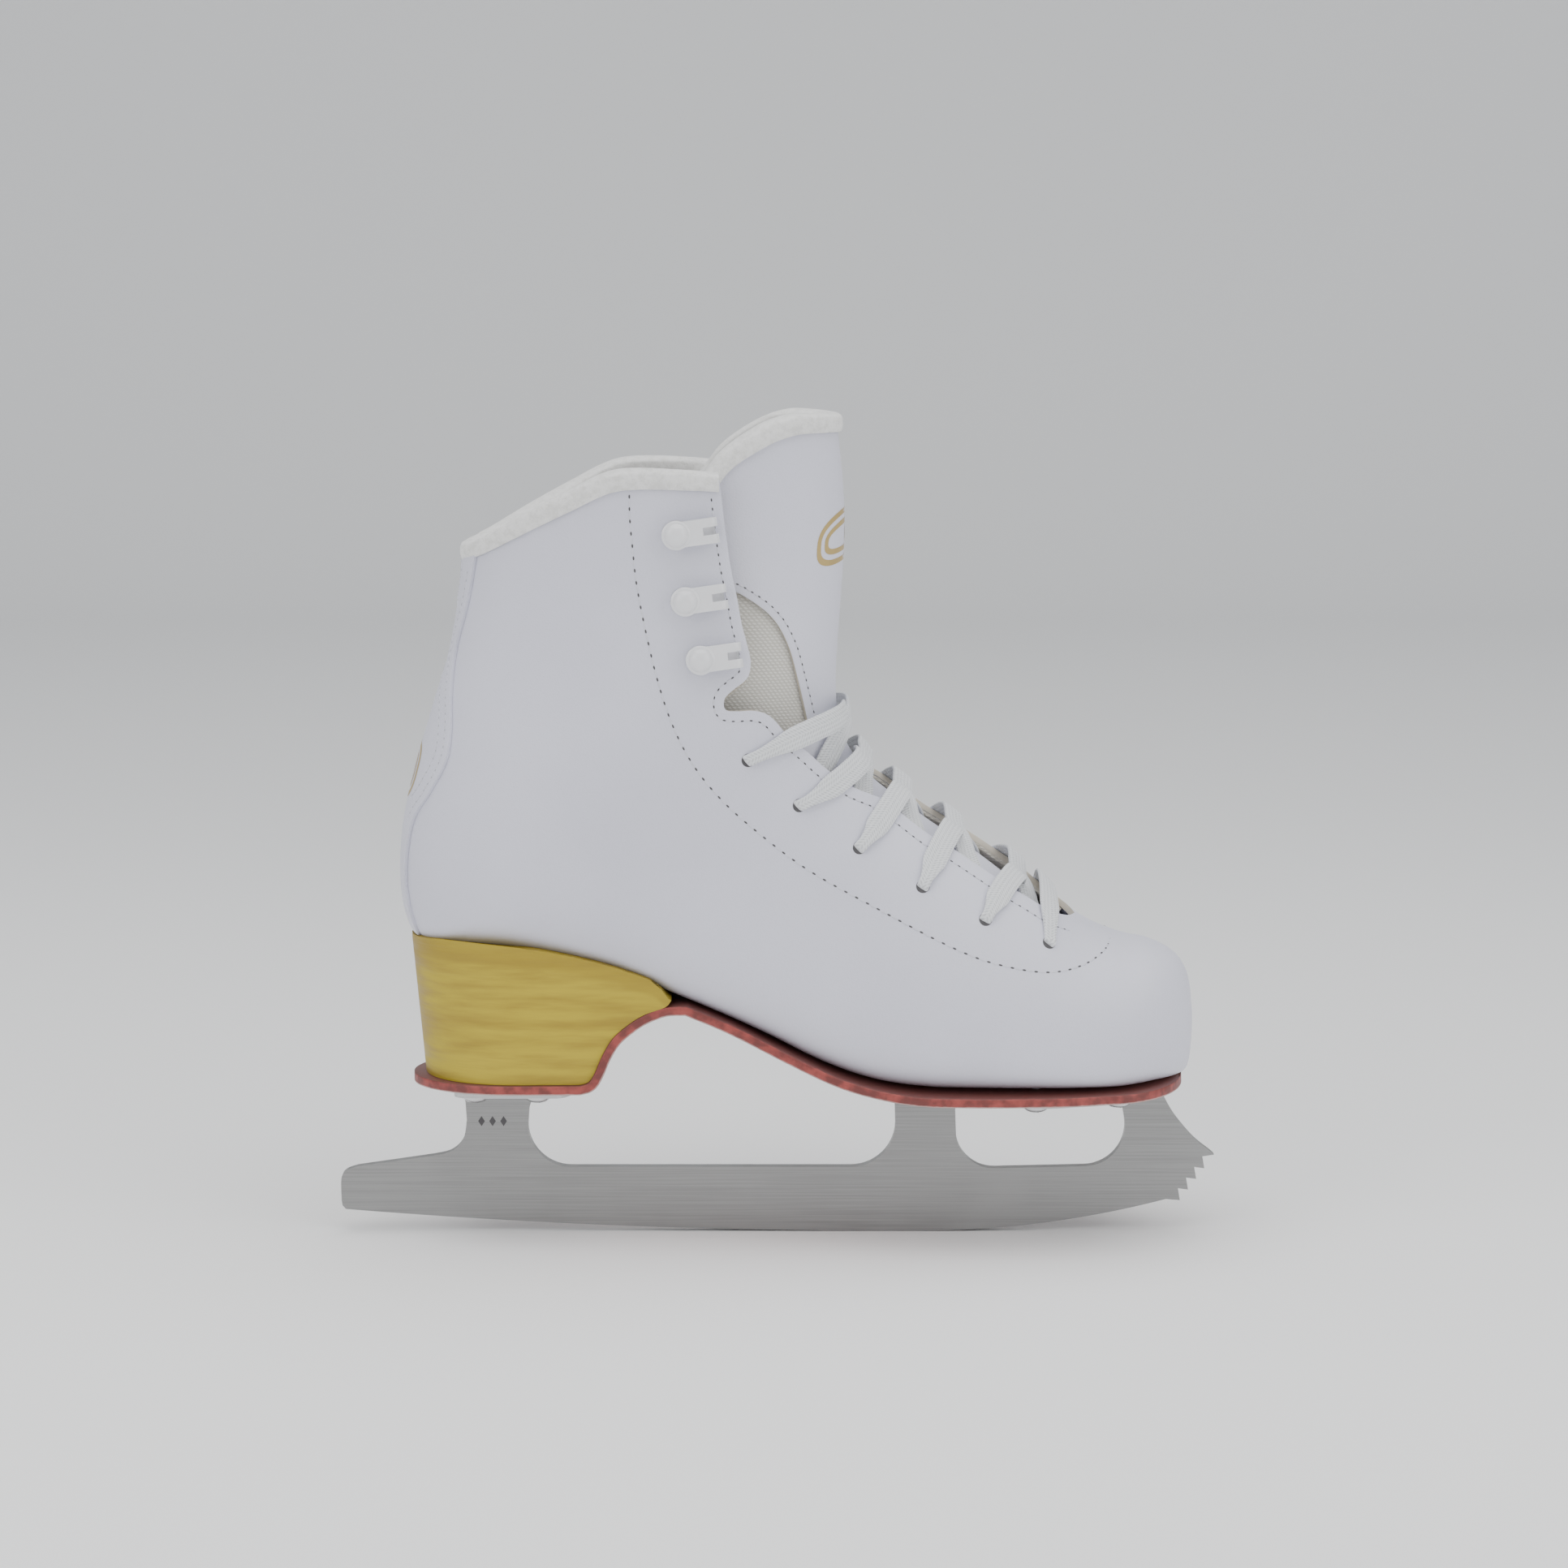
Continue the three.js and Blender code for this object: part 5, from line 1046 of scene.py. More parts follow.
@dataclass
class Upper:
    """The white leather, the strips behind its lace holes, the back stay, the lining and the collar."""

    form: BootForm
    leather: bpy.types.Material
    raw_edge: bpy.types.Material
    tape: bpy.types.Material
    lining: bpy.types.Material
    plush: bpy.types.Material
    shell: float = 2.0
    stay_top: float = 2.3
    stay: float = 1.2
    lining_top: float = 6.9
    lining_thickness: float = 0.9
    overlay: float = 1.3
    binding_reach: float = 4.6
    rows: int = 300
    columns: int = 84

    def build(self, dark: bpy.types.Material) -> None:
        """Makes the upper's pieces; dark is the painted shade of the open lace holes."""
        self.leather_body()
        self.eyelet_wells(dark)
        self.stays()
        self.lining_body()
        self.back_stay_body()
        self.collar_roll()

    def floor_turn(self, u: np.ndarray, share: float = 0.045) -> np.ndarray:
        """Share of a turn where a layer's lower edge lies: under the foot, and none behind the heel."""
        return share * (1 - ease(u, 14.5, 17.0))

    def floored(self, points: np.ndarray, rise: float) -> np.ndarray:
        """Lifts a layer's points that lie lower than a height above the feather line."""
        floor = np.where(points[:, 0] > HEEL_BACK, FEATHER(points[:, 0]) + rise, -np.inf)
        points[:, 2] = np.maximum(points[:, 2], floor)
        return points

    def leather_body(self) -> bpy.types.Object:
        """The outer leather in one piece, with its lace holes."""
        halves, tips = [], []
        rise = self.form.rise_to(lambda x: COLLAR(x) - 0.4, 0.0)
        for side in Side:
            front = self.form.entry(throat_outline(side), side, 0.0)
            panel = Panel(self.form, 0.0, self.rows, self.columns, lambda v: np.zeros_like(v), rise,
                          lambda u, side=side: side.turn(self.floor_turn(u)),
                          lambda u, side=side, front=front: side.turn(front(u)))
            points = self.floored(panel.points(), 0.12)
            tips.append(np.concatenate([points[14 * self.columns:0:-self.columns], points[:self.columns]]))
            halves.append(mesh_object("half", points, grid_faces(self.rows, self.columns)))
        across, up = np.linspace(0, 1, 15)[:, None], np.linspace(0, 1, len(tips[0]))[None, :]
        nose = tips[0] + (tips[1] - tips[0]) * across[..., None]
        nose[..., 0] += 0.4 * np.sin(np.pi * across) * np.sin(np.pi * up)
        halves.append(mesh_object("nose", nose.reshape(-1, 3), grid_faces(15, len(tips[0]))))
        made = merged("upper_leather", halves)
        dress(made, self.leather, self.raw_edge)
        sheeted(made, self.shell, 0.45, rim=1)
        return bound(made, BOOT, "upper_leather", "upper_outer", "upper_inner")

    def eyelet_wells(self, dark: bpy.types.Material) -> None:
        """The open lace holes, as dark wells of painted shade with a pressed rim."""
        wells = []
        rim = [(0, 0.12), (1.5, 0.12), (2.0, 0.08), (2.35, -0.1), (1.9, -0.5), (0, -0.5)]
        for side in Side:
            u, v = self.form.seen_at(raised(LACE_HOLES, side), side)
            places, normals = self.form.surface(u, v), self.form.outward(u, v)
            for p, n in zip(places, normals):
                wells.append(turned("well", rim, p, n, 24))
        made = merged("lace_hole_shade", wells)
        bound(dress(made, dark), BOOT, "upper_leather")

    def stays(self) -> None:
        """The woven strip behind each row of lace holes."""
        rise = self.form.rise_to(lambda x: COLLAR(x) - 1.2, self.stay_top)
        for side in Side:
            edge = [(x - 0.6, z - 1.6) for x, z in raised(FRONT_EDGE, side)]
            throat = [(edge[0][0] + 1, 330), *edge, (97, 103.6), (98, 330)]
            sewn = raised(smooth_line(SEWN_LINE, 6), side)
            behind = [(-46.4, 400), *sewn, (150, 104), (150, 400)]
            front = self.form.entry(throat, side, self.stay_top)
            back = self.form.entry(behind, side, self.stay_top, 0.12)
            panel = Panel(self.form, self.stay_top, 220, 26, lambda v: np.full_like(v, 5.2), rise,
                          lambda u, side=side, back=back, front=front: side.turn(
                              np.minimum(back(u), front(u) - 0.002)),
                          lambda u, side=side, front=front: side.turn(front(u)))
            made = dress(panel.build(f"facing_strip_{side.word}"), self.tape)
            sheeted(made, self.stay, 0.2)
            bound(made, BOOT, "facing_stay", f"facing_stay_{side.word}")

    def lining_body(self) -> None:
        """The textile lining, from the sewn line on one side round the heel to the other."""
        rise = self.form.rise_to(lambda x: COLLAR(x) - 2.5, self.lining_top, 0.4)
        halves = []
        for side in Side:
            sewn = raised(smooth_line(SEWN_LINE, 6), side)
            throat = [(-46.4, 400), *sewn, (110, 104), (112, 400)]
            front = self.form.entry(throat, side, self.lining_top, 0.1)
            panel = Panel(self.form, self.lining_top, 160, 44, lambda v: np.full_like(v, 0.8), rise,
                          lambda u, side=side: side.turn(self.floor_turn(u, 0.06)),
                          lambda u, side=side, front=front: side.turn(front(u)))
            points = self.floored(panel.points(), 3.2)
            halves.append(mesh_object("half", points, grid_faces(160, 44)))
        made = dress(merged("boot_lining", halves), self.lining)
        sheeted(made, self.lining_thickness, 0.2)
        bound(made, BOOT, "lining", "lining_outer", "lining_inner")

    def back_stay_body(self) -> None:
        """The strip laid over the back seam."""
        edge = smooth_line(STAY_EDGE, 8)
        outline = [(-160, 400), (-95, 400), *edge, (-160, 60)]
        turns = {}
        us = np.linspace(14, self.form.last, 700)
        for side in Side:
            steps = np.linspace(0.0, 0.3, 241)
            p = self.form.skin(us[:, None], side.turn(steps)[None, :], -0.2)
            outside = ~enclosed(p[..., 0], p[..., 2], outline)
            first = np.where(outside.any(axis=1), outside.argmax(axis=1), len(steps) - 1)
            turns[side] = steps[first]
        smooth = np.ones(9) / 9
        share = np.convolve((turns[Side.OUTER] + turns[Side.INNER]) / 2, smooth, mode="same")
        edge_turn = lambda u: np.interp(u, us[6:-6], share[6:-6])
        rise = self.form.rise_to(lambda x: COLLAR(x) - self.binding_reach + 0.8, 0.0)
        floor = self.form.rise_to(lambda x: FEATHER(x) + 0.6 + 0 * x, 0.0, 0.55)
        panel = Panel(self.form, -self.overlay, 150, 50, lambda v: np.maximum(floor(v), 15.6), rise,
                      lambda u: -np.maximum(edge_turn(u), 0.008), lambda u: np.maximum(edge_turn(u), 0.008))
        made = dress(panel.build("back_strip"), self.leather, self.raw_edge)
        sheeted(made, self.overlay - 0.05, 0.45, rim=0)
        bound(made, BOOT, "upper_leather", "back_stay")

    def collar_roll(self) -> None:
        """The plush tape round the collar."""
        start = float(self.form.seen_at([(-18.6, float(COLLAR(-18.6)))], Side.OUTER)[1][0])
        end = float(self.form.seen_at([(-18.6, float(COLLAR(-18.6)))], Side.INNER)[1][0])
        path = np.linspace(start, end - 1, 260)
        made = plush_roll(self.form, "collar_roll", path, self.form.rise_to(COLLAR, 0.0), -0.25,
                          lambda x: 5.0 + 4.0 * (1 - ease(x, -52, -30)), self.binding_reach)
        bound(dress(made, self.plush), BOOT, "plush_binding", "collar_binding")


def plush_roll(form: BootForm, name: str, path: np.ndarray, rise: Callable[[np.ndarray], np.ndarray],
               outer: float, inner: Callable[[np.ndarray], np.ndarray], reach: float,
               top: float = 1.9) -> bpy.types.Object:
    """A soft bound edge: a padded tape folded over the top of one or more layers.

    Args:
        path: Values of v along the edge.
        rise: Gives u of the edge at each v.
        outer: Depth of the inside of the tape's outer leg.
        inner: Depth of the inside of its inner leg, as a function of X.
        reach: How far the legs go down.
        top: Height of the fold above the edge.
    """
    u = rise(path)
    here = form.surface(u, path)
    n = form.outward(u, path)
    along = np.gradient(here, axis=0)
    along /= np.linalg.norm(along, axis=1)[:, None]
    up = np.cross(along, n)
    up /= np.linalg.norm(up, axis=1)[:, None]
    up *= np.sign(up[:, 2])[:, None]
    step = form.surface(np.minimum(u + 0.05, form.last), path) - form.surface(u - 0.05, path)
    climb = (step * 10 * up).sum(axis=1)
    deep = inner(here[:, 0])
    middle, half = (outer + deep) / 2, (deep - outer) / 2
    rings = []
    turn = np.linspace(0, np.pi, 17)
    puff = 1.55
    legs = [(-reach + (reach - 0.2) * share, puff * math.sin(math.pi * (0.12 + 0.5 * share)) ** 0.6)
            for share in np.linspace(0, 1, 9)]
    for k, bulge in legs:
        rings.append((middle - half - bulge, k))
    for a in turn[1:-1]:
        rings.append((middle - (half + puff) * np.cos(a), -0.2 + (top + 0.2) * math.sin(a) ** 0.9))
    for k, bulge in legs[::-1]:
        rings.append((middle + half + bulge, k))
    for leg, k in ((1, -reach), (1, -0.3), (-1, -0.3), (-1, -reach)):
        rings.append((middle + leg * half, k))
    wander = 0.12 * np.sin(path * 210) + 0.1 * np.sin(path * 127 + 1.3)
    columns = []
    for depth, k in rings:
        spot = form.skin(u + min(k, 0) / climb, path, depth + wander * (np.abs(depth - middle) > half))
        columns.append(spot + up * max(k, 0))
    return loft(name, np.stack(columns, axis=1))


@dataclass
class Tongue:
    """The padded tongue: the lower part under the lace and the free part above its crease."""

    form: BootForm
    leather: bpy.types.Material
    raw_edge: bpy.types.Material
    mesh: bpy.types.Material
    plush: bpy.types.Material
    seat: float = 7.0
    leather_thickness: float = 1.4
    pad_top: float = 8.7
    pad: float = 5.0
    pivot: tuple[float, float] = (20.5, 181.5)
    bend: float = 9.0
    back: float = -27.0

    def bent(self, made: bpy.types.Object, slot: str, *nodes: str) -> bpy.types.Object:
        """Applies a piece's modifiers, bakes its transform into its mesh and hides the nodes that it stands
        for.
        """
        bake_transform(settled(made))
        if nodes:
            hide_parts(*nodes)
        LOG.info("%s bends between %s and %s", made.name, BOOT, TONGUE)
        return made

    def part(self, name: str, depth: float, outline: Line, rows: int, columns: int,
             edge: float = 0.0) -> bpy.types.Object:
        """One layer of the tongue.

        Args:
            depth: Depth of its face.
            outline: Side-view outline that its wings start in.
            rows: Rows of points.
            columns: Columns of points.
            edge: Radius of its long edges.
        """
        starts = {side: self.form.entry(outline, side, depth, 0.14) for side in Side}
        high = self.form.rise_to(lambda x: TONGUE_TOP(x) - 1.0, depth, 0.6)
        panel = Panel(self.form, depth, rows, columns, lambda v: np.full_like(v, 4.9), high,
                      starts[Side.OUTER], lambda u: 1 - starts[Side.INNER](u), edge)
        return panel.build(name)

    def build(self) -> None:
        """Makes the tongue's pieces."""
        below: Line = [(104, 99), (97, 91), (86, 91.5), (72, 95), (50, 106), (26, 121), (4, 136), (-8, 147)]
        wings = [*below, (-12, 158), (-19, 176), (-25, 196), (self.back, 212), (self.back, 500), (104, 500)]
        front = [*below, (-4, 152), (4, 158), (10.2, 164), *smooth_line(TONGUE_LEATHER_EDGE[1:], 8),
                 (self.back, 500), (104, 500)]
        leather = self.part("tongue_leather", self.seat, front, 260, 70)
        dress(leather, self.leather, self.raw_edge)
        sheeted(leather, self.leather_thickness, 0.4, rim=1)
        self.bent(leather, "tongue_leather", "tongue_upper_leather", "tongue_lower_leather")
        pad = self.part("tongue_mesh_pad", self.pad_top, wings, 220, 90, 1.6)
        dress(pad, self.mesh)
        sheeted(pad, self.pad, 0.6)
        self.bent(pad, "mesh_padding", "tongue_upper_pad", "tongue_lower_pad")
        rise = self.form.rise_to(TONGUE_TOP, 0.0, 0.6)
        corner = self.back + 1.2
        ends = [float(self.form.seen_at([(corner, float(TONGUE_TOP(corner)))], side)[1][0]) for side in Side]
        roll = plush_roll(self.form, "tongue_roll", np.linspace(ends[0], ends[1], 170), rise,
                          self.seat - 0.35, lambda x: np.full_like(x, self.pad_top + self.pad + 0.3), 4.4)
        bound(dress(roll, self.plush), TONGUE, "plush_binding", "tongue_binding")


# ---- lace and hooks --------------------------------------------------------------------------------

@dataclass
class Lace:
    """The flat lace, crossed through twelve holes, with both ends tucked inside the boot."""

    form: BootForm
    material: bpy.types.Material
    film: bpy.types.Material
    width: float = 7.8
    thickness: float = 1.3
    bunched: float = 4.0
    over: float = -0.95
    under: float = 4.95
    margin: float = 6.2
    hurry: float = 1.7
    tip_length: float = 20.0
    around: int = 20
    order: tuple = ((-1, 0), (1, 1), (-1, 2), (1, 3), (-1, 4), (1, 5),
                    (-1, 5), (1, 4), (-1, 3), (1, 2), (-1, 1), (1, 0))
    tail: tuple = ((-17.5, 161.5, 5.15, 5.0), (-23, 161, 8.2, 6.5), (-31, 158, 9.4, 8.5),
                   (-39.5, 152, 9.4, 8.5), (-47, 143, 9.4, 6.0), (-52, 132, 9.4, 3.0))

    def __post_init__(self) -> None:
        """Finds the holes and the throat."""
        self.seats = {s.value: list(zip(*self.form.seen_at(raised(LACE_HOLES, s), s))) for s in Side}
        self.throats = {s.value: throat_outline(s) for s in Side}

    def strand(self, a: tuple, b: tuple, sides: tuple[int, int], middle: float, under: float) -> list:
        """One strand: out of hole a over its facing, across the throat and under the other facing to b.

        Args:
            a: u and v of the first hole.
            b: u and v of the second one.
            sides: The sides that they are on.
            middle: Depth where it crosses the throat.
            under: Depth below the second facing.

        Returns:
            Route points as (u, v, depth, width, in_hole).
        """
        at = lambda t: (a[0] + (b[0] - a[0]) * (1 - (1 - t) ** self.hurry), a[1] + (b[1] - a[1]) * t)

        def shows(t: float, side: int) -> bool:
            """Whether the strand is over the throat at t."""
            p = self.form.surface(*at(t))
            return bool(enclosed(p[0], p[2], self.throats[side]))

        leave, arrive = 0.0, 1.0
        while not shows(leave, sides[0]) and leave < 0.5:
            leave += 0.005
        while not shows(arrive, sides[1]) and arrive > 0.5:
            arrive -= 0.005
        long = float(np.linalg.norm(self.form.surface(*a) - self.form.surface(*b)))
        over, below = leave + self.margin / long, arrive - self.margin / long

        def depth_at(t: float) -> float:
            """Depth of the strand at t."""
            if t < 0.5:
                return self.over + (middle - self.over) * float(ease(t, over, 0.5))
            return middle + (under - middle) * float(ease(t, 0.5, max(below, 0.52)))

        route = [(*a, 1.5, self.bunched, True), (*a, self.over + 0.3, self.bunched, True)]
        for t in np.linspace(1.7 / long, 1 - 1.7 / long, 26):
            close = min(t, 1 - t) * long
            spread = 8 if t < 0.5 else 16
            width = self.bunched + (self.width - self.bunched) * float(ease(close, 1.5, spread))
            lift = (-0.4 if t < 0.3 else 0.2 if t > 0.7 else 0.0) * (1 - float(ease(close, 1.7, 6)))
            route.append((*at(t), depth_at(t) + lift, width, False))
        route.append((*b, self.under - 0.9, self.bunched, True))
        return route

    def tail_route(self, side: Side) -> list:
        """The tucked end on one side, from its hole inwards."""
        u, v = self.form.seen_at(raised([(x, z) for x, z, _, _ in self.tail], side), side)
        return [(u[i], v[i], depth, width, False) for i, (_, _, depth, width) in enumerate(self.tail)]

    def route(self) -> list:
        """The whole route from one end to the other."""
        tails = {side.value: self.tail_route(side) for side in Side}
        whole = [*tails[-1][::-1], (*self.seats[-1][0], self.under + 0.2, self.bunched, True)]
        low, high = self.under, self.under - self.thickness - 0.3
        for (side_a, i), (side_b, j) in zip(self.order, self.order[1:]):
            a, b = self.seats[side_a][i], self.seats[side_b][j]
            if i == j:
                bar = self.strand(a, b, (side_a, side_b), self.over, self.over)[:-1]
                whole += [*bar, (*b, self.over + 0.3, self.bunched, True), (*b, 1.5, self.bunched, True)]
            elif i < j:
                whole += self.strand(a, b, (side_a, side_b), low if side_a < 0 else high, self.under)
            else:
                whole += self.strand(b, a, (side_b, side_a), low if side_b < 0 else high, self.under)[::-1]
        return [*whole, (*self.seats[1][0], self.under + 0.2, self.bunched, True), *tails[1]]

    def build(self) -> None:
        """Makes the lace and its tips."""
        route = self.route()
        u, v, depth, width = (np.array([r[k] for r in route], float) for k in range(4))
        hole = np.array([r[4] for r in route])
        n = self.form.outward(u, v)
        face = self.form.surface(u, v)
        spots = np.where(hole[:, None], face - n * depth[:, None], self.form.skin(u, v, depth))
        lengthways = self.form.surface(np.minimum(u + 0.05, self.form.last), v) - face
        lengthways /= np.linalg.norm(lengthways, axis=1)[:, None]
        tangent = np.gradient(spots, axis=0)
        wide = np.where(hole[:, None], lengthways, np.cross(n, tangent))
        wide *= np.where((wide * lengthways).sum(axis=1) < 0, -1, 1)[:, None]
        wide /= np.linalg.norm(wide, axis=1)[:, None]
        track = np.array(smooth_line([tuple(r) for r in np.hstack([spots, wide, width[:, None]])], 4))
        keep = np.concatenate([[True], np.linalg.norm(np.diff(track[:, :3], axis=0), axis=1) > 0.12])
        track = track[keep]
        ahead = np.gradient(track[:, :3], axis=0)
        ahead /= np.linalg.norm(ahead, axis=1)[:, None]
        across = track[:, 3:6] - ahead * (track[:, 3:6] * ahead).sum(axis=1)[:, None]
        across /= np.linalg.norm(across, axis=1)[:, None]
        thick = np.cross(ahead, across)
        turn = np.linspace(0, 2 * np.pi, self.around, endpoint=False)
        flat = np.sign(np.cos(turn)) * np.abs(np.cos(turn)) ** 0.8
        full = np.sign(np.sin(turn)) * np.abs(np.sin(turn)) ** 0.45
        half = track[:, 6] / 2
        gather = self.width / np.maximum(track[:, 6], 2.5)
        height = self.thickness / 2 * np.minimum(gather, 1.5) ** 0.6
        rings = (track[:, None, :3] + across[:, None, :] * (half[:, None] * flat)[..., None]
                 + thick[:, None, :] * (height[:, None] * full)[..., None])
        made = loft("boot_lace", rings)
        store(made, "along", np.repeat(run_along(track[:, :3]), self.around))
        store(made, "across", (half[:, None] * flat).ravel())
        bound(dress(made, self.material), BOOT, "lace", "lace")
        ends = {Side.OUTER: (track[0, :3], -ahead[0]), Side.INNER: (track[-1, :3], ahead[-1])}
        for side, (place, onward) in ends.items():
            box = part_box(f"lace_tip_{side.word}")
            middle = np.array([(box[0][k] + box[1][k]) / 2 / MM for k in range(3)])
            aim = middle - place
            aim /= np.linalg.norm(aim)
            profile = [(0, 0.25), (1.45, 0.25), (1.62, 0.5), (1.62, self.tip_length - 0.4),
                       (1.4, self.tip_length), (0, self.tip_length)]
            tip = turned(f"lace_end_{side.word}", profile, place, aim, 24)
            bound(dress(tip, self.film), BOOT, "lace_tip", f"lace_tip_{side.word}")


@dataclass
class Hooks:
    """Lace hooks: a strip of sheet folded back over itself, with a domed rivet cap on its flap."""

    form: BootForm
    enamel: bpy.types.Material
    width: float = 8.0
    sheet: float = 1.0
    base: float = 0.3
    gap: float = 2.8
    reach: float = 13.4
    dome: float = 4.6
    window: tuple[float, float] = (3.9, 2.5)
    tilt: float = 8.0

    def solid(self) -> bpy.types.Object:
        """The hook about its rivet, with X to the lace edge and Z away from the leather."""
        bend = (self.gap + 2 * self.sheet) / 2
        straight = self.reach - bend
        flap = self.base + self.sheet + self.gap
        arc = np.linspace(-np.pi / 2, np.pi / 2, 13)
        outer, inner = ([(straight + r * math.cos(a), self.base + bend + r * math.sin(a)) for a in turn]
                        for r, turn in ((bend, arc), (bend - self.sheet, arc[::-1])))
        outline = [(-2.0, self.base), *outer, (-1.0, flap + self.sheet), (-1.0, flap), *inner,
                   (-2.0, self.base + self.sheet)]
        body = extruded("hook", outline, -self.width / 2, self.width / 2)
        x0 = self.reach - self.window[0] - 0.9
        slot = self.window[1] / 2
        tools = [(x0, self.reach - 0.9, self.base + bend), (self.reach - 1.0, self.reach + 2, -2)]
        for xa, xb, za in tools:
            cutter = extruded("cutter", [(xa, za), (xb, za), (xb, 12), (xa, 12)], -slot, slot)
            modifier(body, "BOOLEAN", object=cutter, operation="DIFFERENCE", solver="EXACT")
            settled(body)
            bpy.data.objects.remove(cutter)
        rounded(body, 0.32, 3, 40)
        settled(body)
        top = flap + self.sheet
        axis = np.array([0.0, 0.0, 1.0])
        cap = turned("cap", [(0, flap), (self.dome - 0.3, flap), (self.dome, flap + 0.25), (self.dome, top),
                             (self.dome - 0.3, top + 0.22), (self.dome - 0.9, top + 0.3),
                             (self.dome * 0.72, top + 1.0), (self.dome * 0.5, top + 1.55),
                             (self.dome * 0.25, top + 1.88), (0, top + 2.0)], np.zeros(3), axis, 40)
        foot = turned("foot", [(0, self.base), (self.dome, self.base), (self.dome, self.base + self.sheet),
                               (0, self.base + self.sheet)], np.zeros(3), axis, 40)
        return merged("hook", [body, cap, foot], 1e-6)

    def build(self) -> None:
        """Seats a hook at each of its places."""
        pattern = self.solid()
        for side in Side:
            us, vs = self.form.seen_at(raised(HOOK_SEATS, side), side)
            for i, (u, v) in enumerate(zip(us, vs)):
                n = self.form.outward(u, v)
                tilt = math.radians(self.tilt)
                ahead = np.array([math.cos(tilt), 0, math.sin(tilt)])
                ahead = ahead - n * ahead.dot(n)
                ahead /= np.linalg.norm(ahead)
                wide = np.cross(n, ahead)
                seat = self.form.surface(u, v)
                made = linked(f"lace_hook_{side.word}_{i + 1}", pattern.data.copy())
                count = len(made.data.vertices)
                flat = np.empty(count * 3)
                made.data.vertices.foreach_get("co", flat)
                p = flat.reshape(-1, 3)
                moved = seat * MM + p[:, :1] * ahead + p[:, 1:2] * wide + p[:, 2:] * n
                made.data.vertices.foreach_set("co", moved.ravel())
                made.data.update()
                tidy_normals(made)
                bound(dress(made, self.enamel), BOOT, "hook_enamel", f"hook_{side.word}_{i + 1}")
        bpy.data.objects.remove(pattern)


# ---- heel and outsole ------------------------------------------------------------------------------

@dataclass
class Sole:
    """The heel and the outsole that runs under it and the boot."""

    form: BootForm
    paint: bpy.types.Material
    rubber: bpy.types.Material
    lip: float = 4.0
    toe_tip: float = 131.6
    heel_tip: float = -118.4
    toe_shift: float = 3.0
    thickness: float = 3.0
    heel_floor: float = 50.5
    front_floor: float = 49.2
    taper: float = 1.6
    outer: tuple = ((105, 37.8), (94, 40.6), (82, 41.9), (66, 42.5), (48, 41), (31, 36.8), (14, 32.5),
                    (-6, 28.8), (-29, 27.2), (-56, 28), (-84, 28.8))
    inner: tuple = ((105, 39.6), (94, 41.8), (82, 42.5), (66, 40.6), (48, 36.4), (31, 31.8), (14, 28.4),
                    (-6, 26), (-29, 25.2), (-56, 27), (-84, 28.8))
    breast: tuple = ((-36, 78.9), (-42.8, 76.4), (-48, 73.1), (-52.8, 68.8), (-56.2, 63.2), (-58.6, 57.6),
                     (-60.6, 54.5), (-63.5, 53.5))

    def half_width(self, side: Side, grow: float = 0.0) -> tuple[np.ndarray, np.ndarray]:
        """One side of the plan outline, from the toe to the heel.

        Args:
            grow: Amount added all round.
        """
        table = self.outer if side is Side.OUTER else self.inner
        line = np.array(smooth_line(list(table), 10))
        a = np.linspace(np.pi / 2, 0, 34)[:-1]
        x0, y0 = table[0]
        p = 2 / 2.25
        toe_x = x0 + (self.toe_tip + grow - x0) * np.sin(a) ** p
        toe_y = (y0 + grow) * np.cos(a) ** p * side.value + self.toe_shift * np.sin(a)
        x1, y1 = table[-1]
        b = np.linspace(0, np.pi / 2, 30)[1:]
        p = 2 / 2.1
        heel_x = x1 + (self.heel_tip - grow - x1) * np.sin(b) ** p
        heel_y = (y1 + grow) * np.cos(b) ** p * side.value
        return (np.concatenate([toe_x, line[:, 0], heel_x]),
                np.concatenate([toe_y, (line[:, 1] + grow) * side.value, heel_y]))

    def outsole(self) -> None:
        """The red outsole, lofted along its bent path."""
        outer = self.half_width(Side.OUTER)
        inner = self.half_width(Side.INNER)
        xs = outer[0]
        top = []
        front = [(x, float(FEATHER(x))) for x in xs if x > -30]
        for x, z in front:
            top.append((x, max(z, self.front_floor + self.thickness) if x > 40 else z))
        bend = smooth_line([front[-1], *self.breast], 8)[1:]
        top += bend
        top += [(x, self.heel_floor + self.thickness) for x in xs if x < -64]
        path = np.array(top, float)
        along = np.gradient(path, axis=0)
        along /= np.linalg.norm(along, axis=1)[:, None]
        down = np.stack([-along[:, 1], along[:, 0]], axis=1)
        down *= np.where(down[:, 1] > 0, -1, 1)[:, None]
        left = np.interp(-path[:, 0], -outer[0], outer[1])
        right = np.interp(-path[:, 0], -inner[0], inner[1])
        r = 0.5
        rings, levels = [], []
        under = self.thickness
        for i, (x, z) in enumerate(path):
            middle = (left[i] + right[i]) / 2
            a, b = min(left[i], middle - 0.4), max(right[i], middle + 0.4)
            tight = (b - a) / 2 - 0.1
            wide, slight = min(r, tight), min(r * 0.3, tight)
            corners = [(a + wide, 0, 1.0), (b - wide, 0, 1.0), (b - slight, r * 0.3, 0.95), (b, r, 0.86),
                       (b, under - r, 0.16), (b - slight, under - r * 0.3, 0.05), (b - wide, under, 0.0),
                       (a + wide, under, 0.0), (a + slight, under - r * 0.3, 0.05), (a, under - r, 0.16),
                       (a, r, 0.86), (a + slight, r * 0.3, 0.95)]
            for y, drop, height in corners:
                rings.append((x + down[i, 0] * drop, y, z + down[i, 1] * drop))
                levels.append(height)
        made = loft("outsole_red", np.array(rings).reshape(len(path), 12, 3))
        store(made, "level", levels)
        made.data.set_sharp_from_angle(angle=math.radians(60))
        bound(dress(made, self.rubber), BOOT, "outsole", "outsole")

